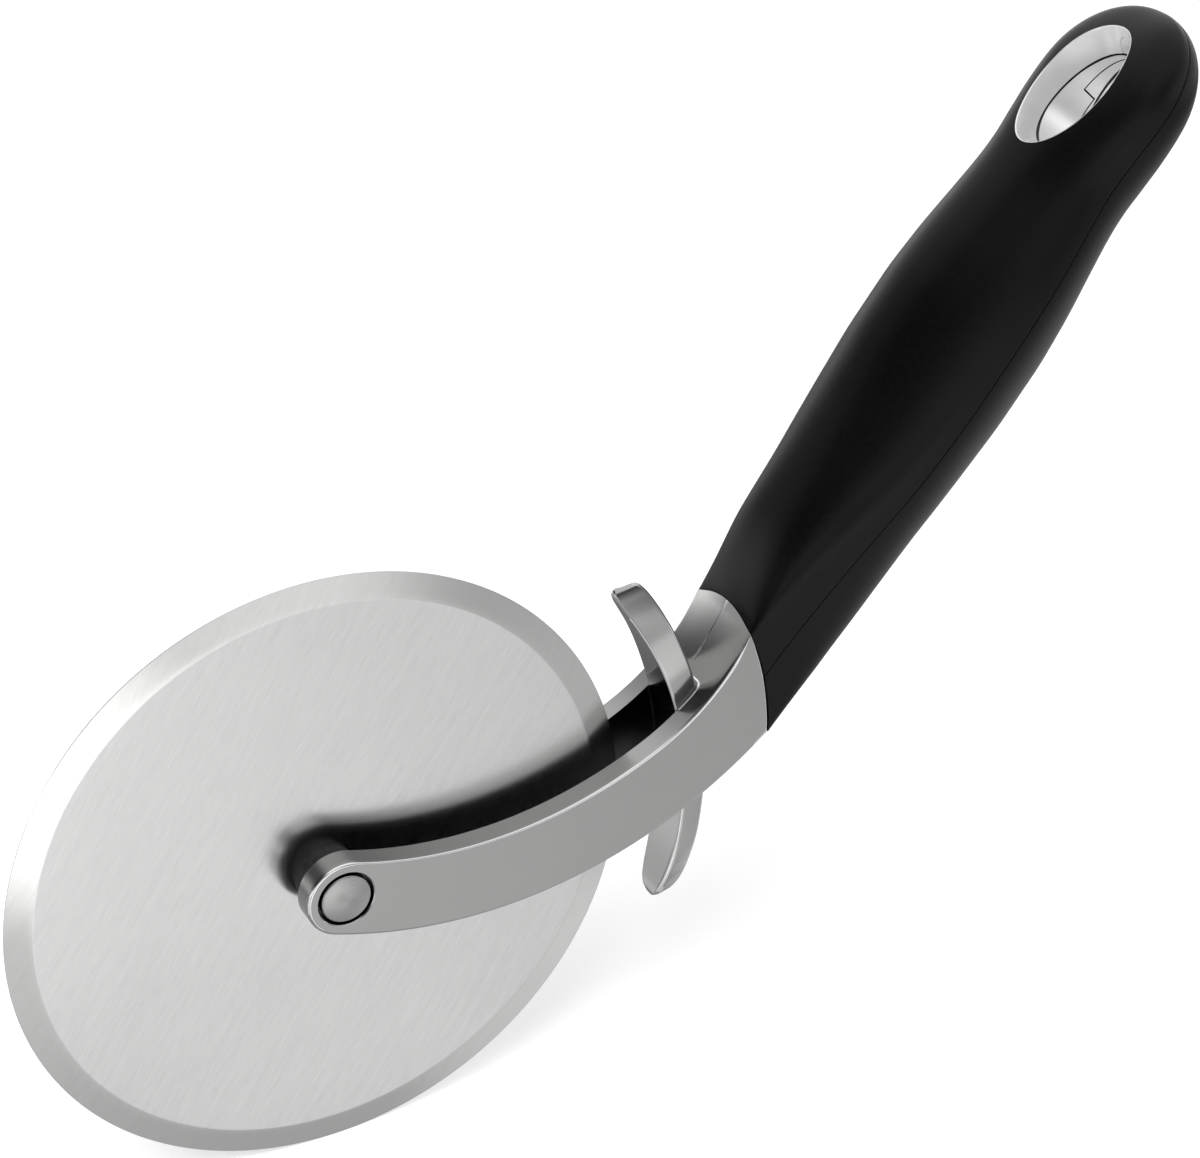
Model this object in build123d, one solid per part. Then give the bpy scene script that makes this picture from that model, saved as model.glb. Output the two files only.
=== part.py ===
# Pizza cutter wheel: a stainless disc in a two-piece cast fork, a curved finger guard,
# and a soft black handle with a chromed hanging eye. Millimetres, +Z up.
# The tool is drawn as it is used: the wheel stands on the board and the handle rises
# behind it. +X runs towards the handle, +Y runs along the wheel's axle.
import os
from math import cos, pi, radians, sin

from build123d import *

# Cutting wheel and its bearing, about the axle
wheel_radius = 50.8
wheel_thickness = 1.2
bevel_width = 4.2
rim_land = 0.16
hub_bore_radius = 4.0
bush_flange_radius = 5.0
bush_nose_radius = 4.5
bush_spigot = 0.55
running_gap = 0.05
washer_radius = 5.2
washer_thickness = 0.5

# Axle: a barrel with a round button on the near side and a screw from the far side
axle_radius = 3.0
button_radius = 4.07
button_well_radius = 4.6
button_well_depth = 1.7
button_dome = 0.35
dome_share = 0.75
screw_core_radius = 1.5
screw_reach = 8.4
slot_drive_width = 1.0
slot_drive_depth = 0.7

# Fork: two mirrored castings that meet on the tool's centre plane. Its long arcs and its
# distance to the handle are shares of the wheel's radius, so a larger wheel gets a larger fork.
fork_half_width = 8.3
slot_half_width = 4.53
arm_end_radius = 6.35
top_start_deg = 72.3
top_front_share = 1.32677
top_front_turn_deg = 44.8
top_rear_share = 0.79921
top_rear_turn_deg = 62.0
bottom_start_deg = -109.6
bottom_share = 1.52362
bottom_turn_deg = 72.0
outer_edge_round = 0.9
tang_half_height = 4.0
tang_half_width = 4.0
tang_start = 56.0
tang_end = 118.0

# Finger guard: a plate curved about the axle, standing out above and below the fork
guard_clearance = 9.7
guard_thickness = 5.4
guard_back_shift_x = -1.3
guard_back_shift_z = 1.8
guard_top_deg = 35.4
guard_bottom_deg = -21.8
guard_wide_top_deg = 14.0
guard_wide_bottom_deg = -11.0
guard_tip_half_width = 0.9
guard_flare_share = 0.5
guard_tip_round = 0.8
guard_back_trim_deg = 0.96
guard_tip_lift = 1.6
guard_bowl_drop = 2.4

# Handle: its straight axis, its slanted front cut, and where its seam lies
handle_rise_deg = 51.5
handle_offset_share = 0.893701
cut_top_station = 64.2
cut_top_height = 6.9
cut_bottom_station = 51.8
cut_reach_share = 1.019685
cut_bottom_height = -7.5
handle_start = 44.0
handle_end = 179.3
cap_start = 165.0
cap_plan_power = 2.1
cap_side_power = 2.2
section_count = 8

# Handle sections: station along the axis, half width, half height, squareness
sections = (
    (44.0, 8.7, 8.1, 6.0),
    (56.0, 8.8, 8.3, 6.0),
    (66.0, 9.2, 9.6, 4.6),
    (76.0, 10.1, 10.7, 3.3),
    (88.0, 12.0, 11.7, 2.4),
    (100.0, 13.8, 12.7, 2.1),
    (112.0, 14.6, 13.8, 2.0),
    (124.0, 14.6, 13.8, 2.0),
    (136.0, 14.0, 12.4, 2.0),
    (147.0, 12.7, 10.8, 2.1),
    (155.0, 12.6, 9.9, 2.6),
    (cap_start, 13.3, 8.3, 3.0),
    (handle_end, 13.3, 6.2, 3.0),
)
cap_shares = (0.385, 0.685, 0.874, 0.965)

# Handle core, the spine that carries the fork's tangs
core_half_width = 7.0
core_half_height = 6.2
core_start = 69.0
core_end = 146.0
core_round = 1.5
core_screw_radius = 1.5
core_screw_head_radius = 2.7
core_screw_head = 1.8
core_screw_stations = (84.0, 106.0)
hole_play = 0.03

# Dowels, three alike: each crosses the centre plane
dowel_radius = 1.25
dowel_half_length = 6.5
guard_dowel_deg = 3.65
guard_dowel_share = 0.43
joint_dowel_degs = (6.8, 12.8)
joint_dowel_margin = 3.5

# Hanging eye: two flared dishes and two sleeves, oval in plan
eye_station = 162.2
rim_half_length = 11.8
rim_half_width = 7.3
dish_slope_deg = 12.5
rim_height = 8.5
flare_reach = 1.25
waist_half_length = 9.4
waist_half_width = 6.0
waist_height = 3.75
waist_lag = 0.9
liner_wall = 1.0
sleeve_recess = 0.2
sleeve_wall = 1.4
dish_gap = 0.3
step_station = 163.3
step_drop = 2.9
key_width = 2.2
key_depth = 0.45

# Values that follow from the ones above
guard_front_radius = wheel_radius + guard_clearance
guard_back_radius = guard_front_radius + guard_thickness
handle_drop = wheel_radius * handle_offset_share
handle_shift = wheel_radius * cut_reach_share - cut_bottom_station
axis_dir = Vector(cos(radians(handle_rise_deg)), 0, sin(radians(handle_rise_deg)))
up_dir = Vector(-sin(radians(handle_rise_deg)), 0, cos(radians(handle_rise_deg)))
handle_frame = Plane(origin=axis_dir * handle_shift - up_dir * handle_drop, x_dir=axis_dir, z_dir=up_dir)
eye_centre = axis_dir * (handle_shift + eye_station) - up_dir * handle_drop


# Helpers
def at(station, height):
    """Point in the tool's middle plane from the handle's station and height."""
    p = axis_dir * (handle_shift + station) + up_dir * (height - handle_drop)
    return (p.X, p.Z)


def slab(face, y_low, y_high):
    """Pull an X-Z outline from one Y to another."""
    return extrude(Plane.XZ.offset(-y_low) * face, amount=y_high - y_low, dir=(0, 1, 0))


def rod(x, z, radius, y_low, y_high):
    return slab(Pos(x, z) * Circle(radius), y_low, y_high)


def polar(radius, deg, centre=(0, 0)):
    return (centre[0] + radius * cos(radians(deg)), centre[1] + radius * sin(radians(deg)))


def dowel_places():
    """Middle of each dowel: one through the guard, two behind it."""
    places = [polar(guard_front_radius + guard_thickness * guard_dowel_share, guard_dowel_deg)]
    return places + [polar(guard_back_radius + joint_dowel_margin, deg) for deg in joint_dowel_degs]


def arc_on(start, heading_deg, radius, turn_deg):
    """Arc that leaves a point on a heading and turns left; returns edge, end, heading."""
    centre = polar(radius, heading_deg + 90, start)
    middle = polar(radius, heading_deg - 90 + turn_deg / 2, centre)
    end = polar(radius, heading_deg - 90 + turn_deg, centre)
    return ThreePointArc(start, middle, end), end, heading_deg + turn_deg


def half_squircle(half_width, half_height, squareness):
    """Upper half of a superellipse, through points worked out from its formula."""
    pts = [(half_width, 0)]
    power = 2 / squareness
    for i in range(1, section_count):
        t = pi * i / section_count
        side = 1 if cos(t) >= 0 else -1
        pts.append((half_width * side * abs(cos(t)) ** power, half_height * sin(t) ** power))
    pts.append((-half_width, 0))
    over = Spline(*pts, tangents=((0, 1), (0, -1)))
    return make_face([over, Line(pts[-1], pts[0])])


def mirrored(shape):
    return mirror(shape, about=Plane.XZ)


# Fork outline seen from the side
def fork_outline():
    top_a = polar(arm_end_radius, top_start_deg)
    bottom_a = polar(arm_end_radius, bottom_start_deg)
    nose = ThreePointArc(top_a, polar(arm_end_radius, (top_start_deg + bottom_start_deg + 360) / 2), bottom_a)
    top1, top_b, heading = arc_on(top_a, top_start_deg - 90, wheel_radius * top_front_share, top_front_turn_deg)
    top2, top_c, heading = arc_on(top_b, heading, wheel_radius * top_rear_share, top_rear_turn_deg)
    bottom, bottom_b, heading = arc_on(bottom_a, bottom_start_deg + 90, wheel_radius * bottom_share, bottom_turn_deg)
    return make_face([nose, top1, top2, Line(top_c, bottom_b), bottom])


def cut_plane():
    """The slanted cut where fork meets handle; its normal points into the handle."""
    a, b = at(cut_top_station, cut_top_height), at(cut_bottom_station, cut_bottom_height)
    along = Vector(b[0] - a[0], 0, b[1] - a[1]).normalized()
    middle = Vector((a[0] + b[0]) / 2, 0, (a[1] + b[1]) / 2)
    return Plane(origin=middle, x_dir=(0, 1, 0), z_dir=(-along.Z, 0, along.X))


def cut_half_space(front):
    """Everything in front of, or behind, that cut."""
    span = 8 * wheel_radius
    side = Align.MAX if front else Align.MIN
    return cut_plane() * Box(span, span, span, align=(Align.CENTER, Align.CENTER, side))


def guard_back_disc(reach):
    return rod(guard_back_shift_x, guard_back_shift_z, guard_back_radius, -reach, reach)


# One half of the fork, near side
def fork_half():
    body = slab(fork_outline(), -fork_half_width, 0) & cut_half_space(True)
    rim = [e for e in body.edges() if abs(e.center().Y + fork_half_width) < running_gap
           and not near_cut(e)]
    body = fillet(rim, outer_edge_round)
    body -= guard_back_disc(slot_half_width)
    tang = handle_frame * Pos(tang_start, 0, 0) * Box(
        tang_end - tang_start, tang_half_width, 2 * tang_half_height,
        align=(Align.MIN, Align.MAX, Align.CENTER))
    body += tang
    for x, z in dowel_places():
        body -= rod(x, z, dowel_radius, -dowel_half_length, 0)
    for station in core_screw_stations:
        body -= handle_frame * Pos(station, 0, 0) * Rot(90, 0, 0) * Cylinder(
            core_screw_radius + hole_play, 4 * tang_half_width)
    body -= rod(0, 0, axle_radius + hole_play, -fork_half_width, 0)
    body -= rod(0, 0, button_well_radius, -fork_half_width, -fork_half_width + button_well_depth)
    return body


def near_cut(edge):
    plane = cut_plane()
    away = (edge.center() - plane.origin).dot(plane.z_dir)
    return abs(away) < running_gap and edge.geom_type == GeomType.LINE


# Finger guard
def guard_side():
    """Side outline: between the front and back arcs, rounded at both tips."""
    back = (guard_back_shift_x, guard_back_shift_z)
    front_top = polar(guard_front_radius, guard_top_deg)
    front_low = polar(guard_front_radius, guard_bottom_deg)
    back_top = polar(guard_back_radius, guard_top_deg - guard_back_trim_deg, back)
    back_low = polar(guard_back_radius, guard_bottom_deg, back)
    front = ThreePointArc(front_low, polar(guard_front_radius, (guard_top_deg + guard_bottom_deg) / 2), front_top)
    rear = ThreePointArc(back_top, polar(guard_back_radius, (guard_top_deg + guard_bottom_deg) / 2, back), back_low)
    face = make_face([front, Line(front_top, back_top), rear, Line(back_low, front_low)])
    return fillet(face.vertices(), guard_tip_round)


def guard_front():
    """Outline seen along +X: full width between the arms, tapered up, rounded down."""
    low = guard_front_radius * sin(radians(guard_bottom_deg))
    wide_low = guard_front_radius * sin(radians(guard_wide_bottom_deg))
    wide_top = guard_front_radius * sin(radians(guard_wide_top_deg))
    top = guard_front_radius * sin(radians(guard_top_deg)) + guard_tip_lift
    w, tip = slot_half_width, guard_tip_half_width
    middle = (wide_top + top) / 2
    flare = tip + (w - tip - guard_tip_lift) * guard_flare_share
    right = Spline((w, wide_top), (flare, middle), (tip, top), tangents=((0, 1), (-tip, top - middle)))
    left = Spline((-tip, top), (-flare, middle), (-w, wide_top), tangents=((-tip, middle - top), (0, -1)))
    bowl = EllipticalCenterArc((0, wide_low), w, wide_low - low + guard_bowl_drop, start_angle=180, arc_size=180)
    return make_face([right, Line((tip, top), (-tip, top)), left,
                      Line((-w, wide_top), (-w, wide_low)), bowl, Line((w, wide_low), (w, wide_top))])


def finger_guard():
    reach = 2 * slot_half_width
    body = slab(guard_side(), -reach, reach)
    window = extrude(Plane.YZ * guard_front(), amount=2 * guard_back_radius)
    body &= window
    x, z = dowel_places()[0]
    return body - rod(x, z, dowel_radius, -reach, reach)


# Wheel and bearing
def cutting_wheel():
    half, land = wheel_thickness / 2, rim_land / 2
    profile = make_face(Polyline(
        (hub_bore_radius, -half), (wheel_radius - bevel_width, -half), (wheel_radius, -land),
        (wheel_radius, land), (wheel_radius - bevel_width, half), (hub_bore_radius, half),
        close=True))
    return turned(profile)


def turned(profile):
    """Turn a radius-by-Y outline about the axle."""
    return revolve(Plane.XY * profile, axis=Axis.Y)


def wheel_bush():
    """Near half of the bearing bush: a spigot in the wheel and a tapered flange."""
    bore = axle_radius + running_gap
    half = wheel_thickness / 2
    nose = slot_half_width - washer_thickness - running_gap
    profile = make_face(Polyline(
        (bore, -half + bush_spigot), (hub_bore_radius, -half + bush_spigot), (hub_bore_radius, -half),
        (bush_flange_radius, -half), (bush_nose_radius, -nose), (bore, -nose), close=True))
    return turned(profile)


def thrust_washer():
    low, high = -slot_half_width, -slot_half_width + washer_thickness
    return rod(0, 0, washer_radius, low, high) - rod(0, 0, axle_radius + hole_play, low, high)


def headed_pin(stem):
    """Near-side pin with a low domed head in its well; the stem outline follows the head."""
    seat = -fork_half_width + button_well_depth
    face, dome = -fork_half_width, -fork_half_width - button_dome
    rim = button_radius - 2 * button_dome
    outline = [(rim, face), (button_radius, face + button_dome), (button_radius, seat)] + stem
    lines = [Line(a, b) for a, b in zip(outline, outline[1:])]
    crown = ThreePointArc((0, dome), (rim / 2, face - button_dome * dome_share), (rim, face))
    return turned(make_face([crown] + lines + [Line(outline[-1], (0, dome))]))


def axle_barrel():
    end = fork_half_width - button_well_depth
    depth = end - screw_reach
    return headed_pin([
        (axle_radius, -end), (axle_radius, end), (screw_core_radius, end),
        (screw_core_radius, depth), (0, depth)])


def axle_screw():
    start = -fork_half_width + button_well_depth
    tip = start + screw_reach - hole_play
    body = headed_pin([(screw_core_radius, start), (screw_core_radius, tip), (0, tip)])
    slot = Pos(0, -fork_half_width - button_dome + slot_drive_depth, 0) * Box(
        slot_drive_width, 4 * slot_drive_depth, 4 * button_radius,
        align=(Align.CENTER, Align.MAX, Align.CENTER))
    return mirrored(body - slot)


# Upper half of the handle's skin; the lower half is the same, turned over
def handle_skin():
    stations = [row for row in sections if row[0] < cap_start + running_gap]
    faces = [section_at(*row) for row in stations]
    last, end = stations[-1], sections[-1]
    for t in cap_shares:
        u, w, h, e = (last[k] + (end[k] - last[k]) * t for k in range(len(end)))
        w *= (1 - t ** cap_plan_power) ** (1 / cap_plan_power)
        h *= (1 - t ** cap_side_power) ** (1 / cap_side_power)
        faces.append(section_at(u, w, h, e))
    return loft(faces)


def section_at(station, half_width, half_height, squareness):
    plane = Plane(origin=(station, 0, 0), x_dir=(0, 1, 0), z_dir=(1, 0, 0))
    return plane * half_squircle(half_width, half_height, squareness)


def core_block():
    block = Pos(core_start, 0, 0) * Box(core_end - core_start, 2 * core_half_width, 2 * core_half_height,
                                        align=(Align.MIN, Align.CENTER, Align.CENTER))
    return fillet(block.edges().filter_by(Axis.X), core_round)


def tang_pocket():
    return Pos(handle_start, 0, 0) * Box(tang_end - handle_start, 2 * tang_half_width, 2 * tang_half_height,
                                         align=(Align.MIN, Align.CENTER, Align.CENTER))


def handle_core():
    body = core_block() - tang_pocket()
    for station in core_screw_stations:
        body -= Pos(station, 0, 0) * Rot(90, 0, 0) * Cylinder(core_screw_radius + hole_play, 2 * core_half_width)
        body -= Pos(station, -core_half_width, 0) * Rot(90, 0, 0) * Cylinder(
            core_screw_head_radius + hole_play, core_screw_head + hole_play,
            align=(Align.CENTER, Align.CENTER, Align.MAX))
    return handle_frame * body


def core_screws():
    out = []
    for station in core_screw_stations:
        base = Pos(station, -core_half_width, 0) * Rot(90, 0, 0)
        head = base * Cylinder(core_screw_head_radius, core_screw_head, align=(Align.CENTER, Align.CENTER, Align.MAX))
        shank = base * Cylinder(core_screw_radius, 2 * core_half_width - core_screw_head_radius,
                                align=(Align.CENTER, Align.CENTER, Align.MAX))
        socket = base * extrude(RegularPolygon(core_screw_radius, 6), amount=-core_screw_head / 2)
        out.append(handle_frame * (head + shank - socket))
    return Compound(out)


# Eye liners, in the handle's own frame
def oval(plane, half_length, half_width):
    return plane * Ellipse(half_length, half_width)


def dish_plane(height, lag):
    tilt = Plane(origin=(eye_station - lag, 0, height), x_dir=(cos(radians(dish_slope_deg)), 0, -sin(radians(dish_slope_deg))),
                 z_dir=(sin(radians(dish_slope_deg)), 0, cos(radians(dish_slope_deg))))
    return tilt


def funnel(grow):
    """Flared hole of the upper dish, widened by a wall where asked."""
    low = dish_plane(waist_height, waist_lag)
    high = dish_plane(rim_height, 0)
    top = high.offset((rim_height - waist_height) * (flare_reach - 1))
    wide_l = waist_half_length + (rim_half_length - waist_half_length) * flare_reach
    wide_w = waist_half_width + (rim_half_width - waist_half_width) * flare_reach
    return loft([oval(low, waist_half_length + grow, waist_half_width + grow), oval(top, wide_l + grow, wide_w + grow)])


def sleeve_solid(grow):
    plane = Plane(origin=(eye_station - waist_lag, 0, 0), x_dir=(1, 0, 0), z_dir=(0, 0, 1))
    return extrude(oval(plane, waist_half_length + grow, waist_half_width + grow), amount=2 * rim_height, both=True)


def above_waist():
    span = 4 * rim_half_length
    return dish_plane(waist_height, waist_lag) * Box(span, span, span, align=(Align.CENTER, Align.CENTER, Align.MIN))


def flipped(shape):
    return mirror(shape, about=Plane.XY)


def eye_dish(skin):
    outer = funnel(liner_wall) & skin
    body = outer - funnel(0)
    lift = dish_plane(waist_height + dish_gap, waist_lag)
    span = 4 * rim_half_length
    body &= lift * Box(span, span, span, align=(Align.CENTER, Align.CENTER, Align.MIN))
    for side in (-1, 1):
        x = eye_station - waist_lag + side * (waist_half_length + rim_half_length) / 2
        body -= Pos(x - side * key_depth, 0, waist_height - side * 2) * Cylinder(key_width / 2, rim_height / 2)
    return body


def middle_ring():
    ring = sleeve_solid(sleeve_recess + sleeve_wall) - sleeve_solid(sleeve_recess)
    ring -= above_waist()
    return ring - flipped(above_waist())


def lower_share():
    span = 4 * rim_half_length
    low = Pos(eye_station, 0, -step_drop) * Box(span, span, span, align=(Align.CENTER, Align.CENTER, Align.MAX))
    tab = Pos(step_station, 0, 0) * Box(span, span, span, align=(Align.MIN, Align.CENTER, Align.MAX))
    return low + tab


def eye_pocket():
    upper = funnel(liner_wall)
    through = sleeve_solid(sleeve_recess + sleeve_wall) - above_waist() - flipped(above_waist())
    return upper + flipped(upper) + through


# Handle shells
def handle_shell(half_skin):
    body = half_skin - core_block() - tang_pocket() - eye_pocket()
    return (handle_frame * body) & cut_half_space(False)


def dowels():
    return Compound([rod(x, z, dowel_radius, -dowel_half_length, dowel_half_length) for x, z in dowel_places()])


# Build every piece, then put the origin at the middle of the hanging eye
skin = handle_skin()
near_fork = fork_half()
upper_dish = eye_dish(skin)
ring = middle_ring()
near_bush = wheel_bush()
near_washer = thrust_washer()

pieces = {
    "cutting_wheel": cutting_wheel(),
    "wheel_bush_near": near_bush,
    "wheel_bush_far": mirrored(near_bush),
    "thrust_washer_near": near_washer,
    "thrust_washer_far": mirrored(near_washer),
    "axle_barrel": axle_barrel(),
    "axle_screw": axle_screw(),
    "fork_near": near_fork,
    "fork_far": mirrored(near_fork),
    "finger_guard": finger_guard(),
    "dowel_pins": dowels(),
    "handle_core": handle_core(),
    "core_screws": core_screws(),
    "handle_top": handle_shell(skin),
    "handle_bottom": handle_shell(flipped(skin)),
    "eye_dish_top": handle_frame * upper_dish,
    "eye_sleeve_upper": handle_frame * (ring - lower_share()),
    "eye_sleeve_lower": handle_frame * (ring & lower_share()),
    "eye_dish_bottom": handle_frame * flipped(upper_dish),
}

os.makedirs("parts", exist_ok=True)
for name, shape in pieces.items():
    export_step(Pos(-eye_centre.X, 0, -eye_centre.Z) * shape, "parts/" + name + ".step")
    print(name, len(shape.solids()), "solid(s)", round(shape.volume, 1))
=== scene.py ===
# %% [markdown]
# # Dressing a pizza cutter wheel
# The measured solids of the tool are loaded first. They are true in size but plain, so this
# lesson gives every piece a finer mesh or a better finish: a brushed steel blade, a satin cast
# fork with a finger guard, a soft black handle, and a bright chromed hanging eye.

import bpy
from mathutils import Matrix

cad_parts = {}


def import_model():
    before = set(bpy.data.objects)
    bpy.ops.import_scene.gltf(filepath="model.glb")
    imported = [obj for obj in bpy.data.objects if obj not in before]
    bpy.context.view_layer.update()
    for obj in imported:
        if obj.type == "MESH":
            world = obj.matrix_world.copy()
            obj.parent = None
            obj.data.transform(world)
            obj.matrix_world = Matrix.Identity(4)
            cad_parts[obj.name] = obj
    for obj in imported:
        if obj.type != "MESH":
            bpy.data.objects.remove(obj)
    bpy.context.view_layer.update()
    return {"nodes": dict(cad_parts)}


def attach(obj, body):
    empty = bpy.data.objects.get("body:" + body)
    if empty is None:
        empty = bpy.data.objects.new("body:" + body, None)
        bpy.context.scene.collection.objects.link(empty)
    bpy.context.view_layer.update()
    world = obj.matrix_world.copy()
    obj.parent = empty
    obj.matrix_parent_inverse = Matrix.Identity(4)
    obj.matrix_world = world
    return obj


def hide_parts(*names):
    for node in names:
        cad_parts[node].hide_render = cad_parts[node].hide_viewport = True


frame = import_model()

# %% [markdown]
# A maker thinks of this tool in millimetres, and Blender's unit here is the metre, so one value
# does all the changing. The view transform stays plain, so that white in the picture is white.

# %% Modules and the unit
from math import atan2, cos, degrees, pi, radians, sin, sqrt, tan

import bmesh
import bpy
from mathutils import Vector

MM = 0.001
scene = bpy.context.scene
scene.view_settings.view_transform = "Standard"
print("one millimetre is", MM, "m, view transform:", scene.view_settings.view_transform)

# %% [markdown]
# Two helper frames keep the numbers readable. The *head* frame has the wheel's axle at its
# origin, with X towards the handle and Z up. The *handle* frame runs along the handle: u is the
# distance from the foot of the perpendicular dropped from the axle, y is across, h is up.
# Everything is worked out in millimetres and turned into metres at the very end.

# %% Head frame and handle frame
HANDLE_RISE = radians(51.5)
HANDLE_OFFSET = 45.4
EYE_STATION = 162.2
WHEEL_CENTRE = (-136.502, 0.0, -98.677)
AXIS = Vector((cos(HANDLE_RISE), 0, sin(HANDLE_RISE)))
LIFT = Vector((-sin(HANDLE_RISE), 0, cos(HANDLE_RISE)))


def from_head(x, y, z):
    """Point of the head frame, in millimetres, as a point of the scene in metres."""
    return Vector((x + WHEEL_CENTRE[0], y, z + WHEEL_CENTRE[2])) * MM


def from_handle(u, y, h):
    """Point of the handle frame, in millimetres, as a point of the scene in metres."""
    p = AXIS * (u - EYE_STATION) + LIFT * h
    return Vector((p.x, y, p.z)) * MM


print("axle to eye, mm:", round(sqrt(WHEEL_CENTRE[0] ** 2 + WHEEL_CENTRE[2] ** 2), 1))

# %% [markdown]
# Most pieces here are skins: a list of rows of points, joined row to row by four-sided faces.
# Rows give clean normals, which matters more on polished metal than a high face count does.

# %% Skins
WELD_GAP = 0.00001


def skin_mesh(name, rows, loop_back=False):
    """Join equal rows of points into a closed mesh; it ends in caps unless it loops back."""
    bm = bmesh.new()
    grid = [[bm.verts.new(p) for p in row] for row in rows]
    count = len(rows[0])
    pairs = list(zip(grid, grid[1:])) + ([(grid[-1], grid[0])] if loop_back else [])
    for low, high in pairs:
        for i in range(count):
            j = (i + 1) % count
            bm.faces.new((low[i], low[j], high[j], high[i]))
    if not loop_back:
        bm.faces.new(list(reversed(grid[0])))
        bm.faces.new(grid[-1])
    bmesh.ops.remove_doubles(bm, verts=bm.verts, dist=WELD_GAP * MM)
    bmesh.ops.recalc_face_normals(bm, faces=bm.faces)
    return mesh_object(name, bm)


def mesh_object(name, bm):
    """Put a finished bmesh into the scene as an object."""
    mesh = bpy.data.meshes.new(name)
    bm.to_mesh(mesh)
    bm.free()
    obj = bpy.data.objects.new(name.replace(" ", "_"), mesh)
    scene.collection.objects.link(obj)
    return obj


# %% [markdown]
# Smooth shading hides the faces of a curved skin, but it would also melt real corners. So every
# crease above a chosen angle stays sharp, and the weighted normals keep flat faces flat.

# %% Smoothing and carving
FLAT_FACE_WEIGHT = 80


def smooth_shaded(obj, sharp_deg):
    """Smooth shading that keeps creases sharper than the given angle."""
    mesh = obj.data
    mesh.polygons.foreach_set("use_smooth", [True] * len(mesh.polygons))
    mesh.set_sharp_from_angle(angle=radians(sharp_deg))
    even = obj.modifiers.new("even normals", "WEIGHTED_NORMAL")
    even.keep_sharp = True
    even.weight = FLAT_FACE_WEIGHT
    return obj


def applied(obj):
    """Turn an object's modifiers into its mesh."""
    graph = bpy.context.evaluated_depsgraph_get()
    mesh = bpy.data.meshes.new_from_object(obj.evaluated_get(graph))
    obj.modifiers.clear()
    obj.data = mesh
    return obj


def carved(obj, cutters):
    """Cut shapes out of an object, and remove the cutting shapes."""
    for cutter in cutters:
        step = obj.modifiers.new("carve", "BOOLEAN")
        step.operation = "DIFFERENCE"
        step.solver = "EXACT"
        step.object = cutter
    applied(obj)
    for cutter in cutters:
        bpy.data.objects.remove(cutter)
    return obj


def full_circle(steps):
    """Even directions all the way round, in radians."""
    return [2 * pi * i / steps for i in range(steps)]


def drum(name, x, z, profile, steps):
    """Round cutter along Y in the head frame, from a run of (y, radius) pairs."""
    rows = [[from_head(x + radius * cos(a), y, z + radius * sin(a)) for a in full_circle(steps)]
            for y, radius in profile]
    return skin_mesh(name, rows)


def lathe(name, outline, steps):
    """Turn a closed outline of (radius, y) points about the axle."""
    rows = [[from_head(r * cos(a), y, r * sin(a)) for r, y in outline] for a in full_circle(steps)]
    return skin_mesh(name, rows, loop_back=True)


# %% [markdown]
# Several sizes below change smoothly along a piece, such as the handle's width. They are kept in
# short tables. A cubic that never overshoots runs through their rows, so a table of a few rows
# gives a clean surface without bumps.

# %% Smooth tables and searches
HALVINGS = 40


def between(table, x, column):
    """Smooth curve through one column of a table (cubic, never overshooting)."""
    xs = [row[0] for row in table]
    ys = [row[column] for row in table]
    slopes = [(b - a) / (d - c) for a, b, c, d in zip(ys, ys[1:], xs, xs[1:])]
    inner = [0 if p * q <= 0 else 2 * p * q / (p + q) for p, q in zip(slopes, slopes[1:])]
    tangents = [slopes[0]] + inner + [slopes[-1]]
    x = min(max(x, xs[0]), xs[-1])
    k = max(i for i in range(len(xs) - 1) if xs[i] <= x or i == 0)
    step = xs[k + 1] - xs[k]
    t = (x - xs[k]) / step
    return (ys[k] * (2 * t ** 3 - 3 * t ** 2 + 1) + step * tangents[k] * (t ** 3 - 2 * t ** 2 + t)
            + ys[k + 1] * (3 * t ** 2 - 2 * t ** 3) + step * tangents[k + 1] * (t ** 3 - t ** 2))


def eased(t):
    """Soft step from 0 to 1."""
    t = min(max(t, 0), 1)
    return t * t * (3 - 2 * t)


def last_true(low, high, test):
    """Greatest value of a span at which a test still holds, found by halving the span."""
    for _ in range(HALVINGS):
        middle = (low + high) / 2
        low, high = (middle, high) if test(middle) else (low, middle)
    return low


print("half way of the soft step:", eased(0.5))

# %% [markdown]
# ## Shared effects
# Three effects are used by more than one finish, so each is a node group with named inputs:
# straight brush strokes for steel, a fine moulded or cast grain, and slow cloudy smudges.
# Each puts out plain values; the shader itself stays in the material.

# %% Node helpers


def new_group(name, inputs, outputs):
    """Node group with named float inputs and outputs; returns it with its two end nodes."""
    group = bpy.data.node_groups.new(name, "ShaderNodeTree")
    group.interface.new_socket(name="Vector", in_out="INPUT", socket_type="NodeSocketVector")
    for label, value in inputs:
        socket = group.interface.new_socket(
            name=label, in_out="INPUT", socket_type="NodeSocketFloat")
        socket.default_value = value
    for label in outputs:
        group.interface.new_socket(name=label, in_out="OUTPUT", socket_type="NodeSocketFloat")
    return group, group.nodes.new("NodeGroupInput"), group.nodes.new("NodeGroupOutput")


def math_node(tree, operation, a, b, clamp=False):
    """Math node whose two inputs are numbers or other nodes' outputs."""
    node = tree.nodes.new("ShaderNodeMath")
    node.operation = operation
    node.use_clamp = clamp
    for socket, value in zip(node.inputs, (a, b)):
        if isinstance(value, (int, float)):
            socket.default_value = value
        else:
            tree.links.new(value, socket)
    return node.outputs[0]


def blended(tree, a, share, b):
    """The first value by its share, and the second by the rest."""
    first, second = math_node(tree, "MULTIPLY", a, share), math_node(tree, "MULTIPLY", b, 1 - share)
    return math_node(tree, "ADD", first, second)


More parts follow.
